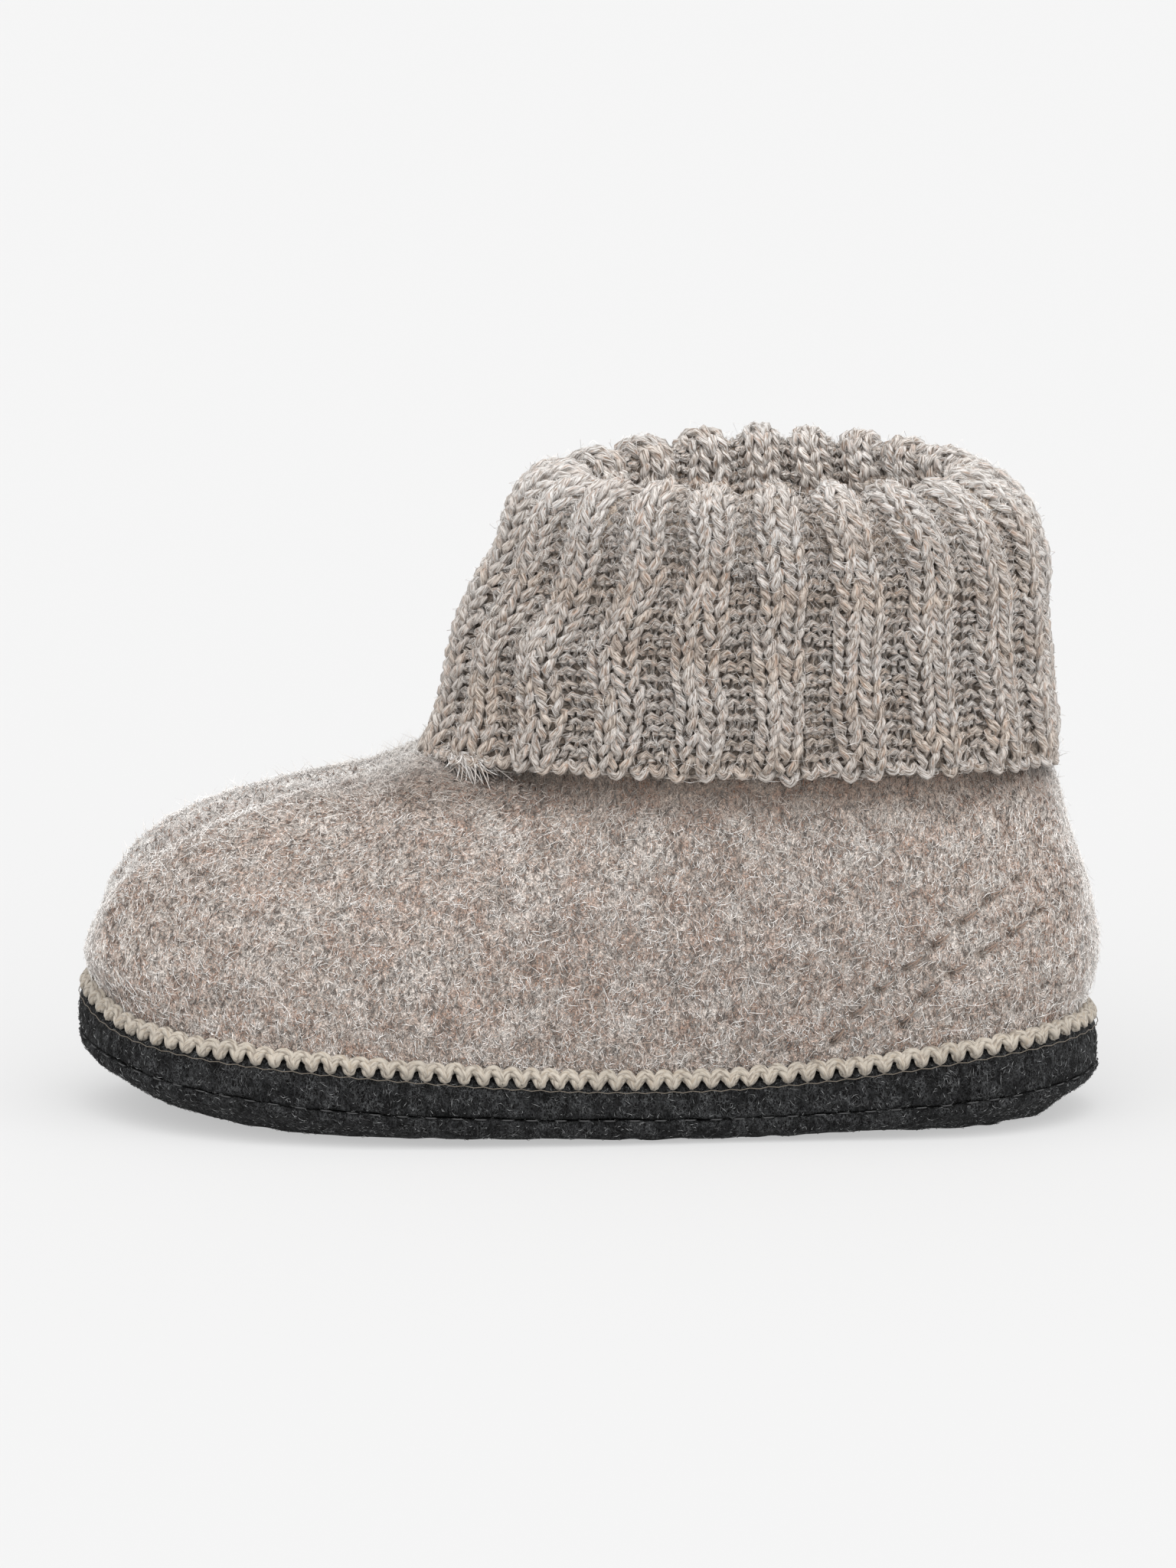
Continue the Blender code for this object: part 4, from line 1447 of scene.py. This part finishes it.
# %% Layers of the sole
AROUND_SOLE = 416
sole_place = np.arange(AROUND_SOLE) / AROUND_SOLE
sole_joint = column("joint", sole_place)
groove = column("edge", sole_place) + GROOVE_HEIGHT
sole_x = column("x", sole_place)
under_toes = ease(sole_x, -28.0, -38.0) * ease(sole_x, -80.0, -66.0)
under_heel = ease(sole_x, 52.0, 64.0)
bottom = column("edge", sole_place) + 0.6 * under_toes + 0.75 * under_heel
rim = sole_joint - 1.4      # the felt meets the upper a little below the stitched joint
band_foot = sole_joint - STITCH_HEIGHT
tray = np.minimum(groove + MIDSOLE_FLOOR, rim - 0.3)


def sole_rings(*places):
    """Rings round the shoe, each from how far it is set back and how high it lies."""
    return [ring(sole_place, set_back, height) for set_back, height in places]


def split_rings(rings, step):
    """More rings between the given ones, about `step` apart, with rounded corners."""
    made = []
    for first, second in zip(rings, rings[1:]):
        gap = np.linalg.norm(second - first, axis=1).mean()
        count = max(1, int(round(gap / step)))
        made += [first + (second - first) * share for share in np.arange(count) / count]
    stack = np.stack(made + rings[-1:])
    for _ in range(2):
        stack[1:-1] = (stack[:-2] + 2 * stack[1:-1] + stack[2:]) / 4
    return stack


def ladder(start, around, upward):
    """Closes a ring from the heel to the toe: one triangle, a row of quads, one triangle."""
    half, step = around // 2, np.arange(around // 2)
    near, far = start + step, start + (around - step) % around
    quads = np.stack([near, near + 1, start + around - 1 - step, far], axis=1)
    first = np.array([[start, start + 1, start + around - 1]])
    last = start + half + np.array([[-1, 0, 1]])
    if upward:
        first, last, quads = first[:, ::-1], last[:, ::-1], quads[:, ::-1]
    return np.concatenate([first, last]), quads[1:-1]


def flat_map(points, faces):
    """A map that looks down on a cap, squeezed into a strip above the map of the sides."""
    low, high = points.min(axis=0)[:2], points.max(axis=0)[:2]
    flat = (points[:, :2] - low) / (high - low)
    return flat[faces] * np.array([0.98, 0.23]) + np.array([0.01, 0.76])


def add_layer(name, stack, material, replaced, relief, seed):
    """A closed layer from a stack of rings, with felt lumps on its sides."""
    rows, around = stack.shape[:2]
    push = relief * lumps(stack, 2.6, seed) + 0.6 * relief * lumps(stack, 7.0, seed + 1)
    row = np.arange(rows)[:, None]
    fade = ease(row, 0, 3) * ease(row, rows - 1, rows - 4)
    points = stack + make_sheet(stack)["out"] * (push * fade)[..., None]
    points[..., 2] = np.maximum(points[..., 2], 0.0)
    sides, places = grid_faces(rows, around)
    low_triangles, low_quads = ladder(0, around, upward=False)
    high_triangles, high_quads = ladder((rows - 1) * around, around, upward=True)
    flat_points = points.reshape(-1, 3)
    triangles = np.concatenate([low_triangles, high_triangles])
    caps = np.concatenate([low_quads, high_quads])
    side_map = places * np.array([1.0, 0.75])
    maps = {"OFBake": [flat_map(flat_points, triangles), side_map, flat_map(flat_points, caps)]}
    make_piece(
        name, flat_points, [triangles, sides, caps], material,
        maps, np.ones_like(flat_points), replaced,
    )
    return make_sheet(points)


def towards_spine(ring_points, share):
    """A ring drawn in towards the middle line of the sole, at the height of its underside."""
    drawn = ring_points * (1 - share)
    drawn[:, 0] += share * np.clip(ring_points[:, 0], -55.0, 58.0)
    drawn[:, 2] = flat_height(drawn[:, 0])
    return drawn


outsole_height = groove - bottom
inner_ring = ring(sole_place, 9.0, 0.0)
inner_ring[:, 2] = flat_height(inner_ring[:, 0])
outsole_rings = [towards_spine(inner_ring, share) for share in (0.985, 0.66, 0.33)]
outsole_rings += [inner_ring] + sole_rings(
    (3.0, bottom),
    (1.6, bottom + 0.4),
    (0.65, bottom + 1.2),
    (0.1, bottom + 0.58 * outsole_height),
    (0.0, bottom + 0.72 * outsole_height),
    (0.03, groove - 0.35),
    (0.14, groove - 0.02),
    (9.0, groove - 0.4),
)
midsole_rings = sole_rings(
    (9.0, groove + 0.1),
    (0.14, groove + 0.02),
    (0.03, groove + 0.35),
    (0.0, groove + 1.3),
    (0.3, band_foot - 0.2),
    (0.75, band_foot + 1.2),
    (1.5, rim - 0.3),
    (RIM_SET_BACK, rim),
    (5.7, rim),
    (6.1, tray),
    (9.5, tray),
)
outsole_sheet = add_layer(
    "felt_outsole", split_rings(outsole_rings, 1.0), charcoal_felt,
    ["outsole"], 0.11, 41,
)
midsole_sheet = add_layer(
    "felt_midsole", split_rings(midsole_rings, 0.8), charcoal_felt,
    ["midsole"], 0.13, 43,
)

# %% [markdown]
# ### Insole
# A plain felt sheet lies in the tray of the midsole. Only the collar shows it.

# %% Insole
bed = tray + 0.3
insole_rings = sole_rings(
    (9.5, bed), (6.8, bed), (6.4, bed + 0.6), (6.4, bed + 2.4), (7.0, bed + 3.0), (9.5, bed + 3.0)
)
add_layer(
    "felt_insole", split_rings(insole_rings, 1.4), insole_felt,
    ["insole"], 0.06, 45,
)

# %% [markdown]
# ### Fibres of the sole
# Light grey and black fibres curl on the charcoal felt of both layers, low and close,
# as the felt is pressed hard.

# %% Sole fibres
SOLE_FIBRES = 5500    # on each layer
SOLE_TONES = np.array([(0.27, 0.273, 0.275), (0.08, 0.081, 0.082), (0.012, 0.012, 0.012)])
SOLE_SHARES = (0.24, 0.34, 0.42)


def side_rows(sheet, top):
    """Which points of a sole sheet are on its visible side."""
    facing = np.hypot(sheet["out"][..., 0], sheet["out"][..., 1])
    rows = np.arange(len(facing))[:, None]
    inside = (rows > 0.1 * len(facing)) & (rows < top * len(facing))
    return np.where((facing > 0.35) & inside, 1.0, 0.0)


for name, sheet, seed, top in (
    ("outsole_fibres", outsole_sheet, 51, 0.9), ("midsole_fibres", midsole_sheet, 52, 0.62),
):
    look = (sole_fibres, "dark_felt", SOLE_TONES, SOLE_SHARES, side_rows(sheet, top), None)
    lift = arch(0.05, 0.30, -0.04)
    add_fibres(name, sheet, SOLE_FIBRES, seed, 1.5, 3.4, 3, lift, 0.05, look)

# %% [markdown]
# ### Stitches of the groove
# Lockstitches of grey thread hold the layers together. They lie in the groove and show
# as short dashes.

# %% Groove stitches
DASH_STEP = 4.4       # mm from one stitch to the next
DASH_LENGTH = 2.2
DASH_TONE = (0.055, 0.055, 0.056)
dash_count = int(round(ROUND_SOLE / DASH_STEP))
chance = np.random.default_rng(61)
dash_start = (np.arange(dash_count) + chance.uniform(-0.08, 0.08, dash_count)) / dash_count
dash_share = np.linspace(0, 1, 6)
dash_place = dash_start[:, None] + dash_share * DASH_LENGTH / ROUND_SOLE
dash_height = column("edge", dash_place) + GROOVE_HEIGHT
dash_depth = 0.16 - 0.20 * np.sin(np.pi * dash_share)
add_tubes(
    "groove_stitches", ring(dash_place, dash_depth, dash_height), 0.12, outward(dash_place), 5,
    sole_fibres, DASH_TONE,
)

# %% [markdown]
# ## Edge stitch
# An overlock of soft cream yarn closes the joint of upper and sole. It runs in round
# arches that lean on the wool above and dive into the sole between them. A point on a
# rolling wheel draws such arches: sideways it moves by turn - a sin(turn), and up by
# 1 - cos(turn). Three strands wind round that line, as the yarn is loosely plied.

# %% Edge stitch
STITCHES = 128
SAMPLES = 14          # stations for each stitch
ARCH_FOOT = 2.0       # mm below the joint, where the arches dive in
ARCH_HEIGHT = 1.75
ARCH_LEAN = 0.80      # 1 would end each arch in a sharp cusp
STRANDS = 3
STRAND_RADIUS = 0.65
STRAND_REACH = 0.43   # from the middle of the yarn to the middle of a strand
STRAND_TURN = 8.0     # mm of yarn for one turn of the strands
MAP_ROWS = 40         # an endless tube lies in the map as this many short rows
CREAM = np.array([0.395, 0.357, 0.305])

turn = np.linspace(0, 2 * np.pi * STITCHES, STITCHES * SAMPLES, endpoint=False)
chance = np.random.default_rng(71)
sideways_jitter = np.repeat(chance.normal(0, 0.035, STITCHES), SAMPLES)
height_jitter = np.repeat(chance.normal(0, 0.10, STITCHES), SAMPLES)
climb = 0.5 - 0.5 * np.cos(turn)
stitch_place = (turn - ARCH_LEAN * np.sin(turn)) / (2 * np.pi)
stitch_place = (stitch_place + sideways_jitter * climb) / STITCHES
stitch_height = column("joint", stitch_place) - ARCH_FOOT
stitch_height += (ARCH_HEIGHT + height_jitter) * climb
stitch_set_back = 0.45 + 0.95 * climb ** 1.5 + 0.35 * (1 - climb) ** 6
stitch_set_back += 0.55 * ease(np.abs(column("x", stitch_place)), 72.0, 86.0)
centre = ring(stitch_place, stitch_set_back, stitch_height)
stitch_out = outward(stitch_place)


def loop_frame(path, facing):
    """Two ways square to an endless path: out on the side of `facing`, and beside it."""
    ahead = unit(np.roll(path, -1, axis=0) - np.roll(path, 1, axis=0))
    front = unit(facing - (facing * ahead).sum(axis=1, keepdims=True) * ahead)
    return front, np.cross(front, ahead)


def endless_tube(path, radius, facing, sides):
    """One tube along a path that ends where it starts, as a grid of rings."""
    front, beside = loop_frame(path, facing)
    angle = 2 * np.pi * np.arange(sides) / sides
    spread = np.cos(angle)[:, None] * front[:, None] + np.sin(angle)[:, None] * beside[:, None]
    return path[:, None] + radius * spread


def endless_maps(path, places, number, count):
    """A strip of the bake map for one of several endless tubes, and its yarn map."""
    length = np.linalg.norm(np.roll(path, -1, axis=0) - path, axis=1).sum()
    around, along = places[..., 0], places[..., 1]
    strip = along * MAP_ROWS
    row = np.floor(np.minimum(strip[:, :1], MAP_ROWS - 1e-6))
    bake_x = np.clip(strip - row, 0, 1)
    bake_y = (number + (row + 0.05 + 0.9 * around) / MAP_ROWS) / count
    return np.stack([bake_x, bake_y], axis=2), np.stack([around, along * length], axis=2)


front, beside = loop_frame(centre, stitch_out)
steps = np.linalg.norm(np.roll(centre, -1, axis=0) - centre, axis=1)
yarn_length = steps.sum()
turns = np.round(yarn_length / STRAND_TURN)
wind = 2 * np.pi * turns * np.append(0, np.cumsum(steps)[:-1]) / yarn_length
strand_points, strand_faces, bake_maps, yarn_maps = [], [], [], []
for strand in range(STRANDS):
    angle = (wind + 2 * np.pi * strand / STRANDS)[:, None]
    path = centre + STRAND_REACH * (np.cos(angle) * front + np.sin(angle) * beside)
    points = endless_tube(path, STRAND_RADIUS, stitch_out, 5).reshape(-1, 3)
    faces, places = grid_faces(len(path), 5, wrap_rows=True)
    bake, yarn = endless_maps(path, places, strand, STRANDS)
    strand_points.append(points)
    strand_faces.append(faces + strand * len(points))
    bake_maps.append(bake)
    yarn_maps.append(yarn)
points = np.concatenate(strand_points)
cream_tint = CREAM * (1 + 0.06 * lumps(points, 6.0, 72))[:, None]
make_piece(
    "edge_stitch", points, [np.concatenate(strand_faces)], cream_yarn,
    {"OFBake": [np.concatenate(bake_maps)], "yarn": [np.concatenate(yarn_maps)]},
    cream_tint, ["binding"],
)
print("edge stitch:", STITCHES, "arches,", round(yarn_length), "mm of yarn")

# %% [markdown]
# ### Locking thread
# A thin thread catches the arches where they dive in, and sags a little in between.

# %% Locking thread
THREAD_TONE = (0.14, 0.12, 0.098)
THREAD_DEPTH = 2.95   # mm below the joint
thread_turn = np.linspace(0, 2 * np.pi * STITCHES, STITCHES * 4, endpoint=False)
sag = 0.5 - 0.5 * np.cos(thread_turn)
thread_place = thread_turn / (2 * np.pi * STITCHES)
thread_height = column("joint", thread_place) - THREAD_DEPTH - 0.25 * sag
thread_path = ring(thread_place, 0.12 - 0.1 * sag, thread_height)
points = endless_tube(thread_path, 0.075, outward(thread_place), 4).reshape(-1, 3)
faces, places = grid_faces(len(thread_path), 4, wrap_rows=True)
bake = endless_maps(thread_path, places, 0, 1)[0]
make_piece(
    "locking_thread", points, [faces], sole_fibres,
    {"OFBake": [bake]}, np.full(points.shape, THREAD_TONE),
)
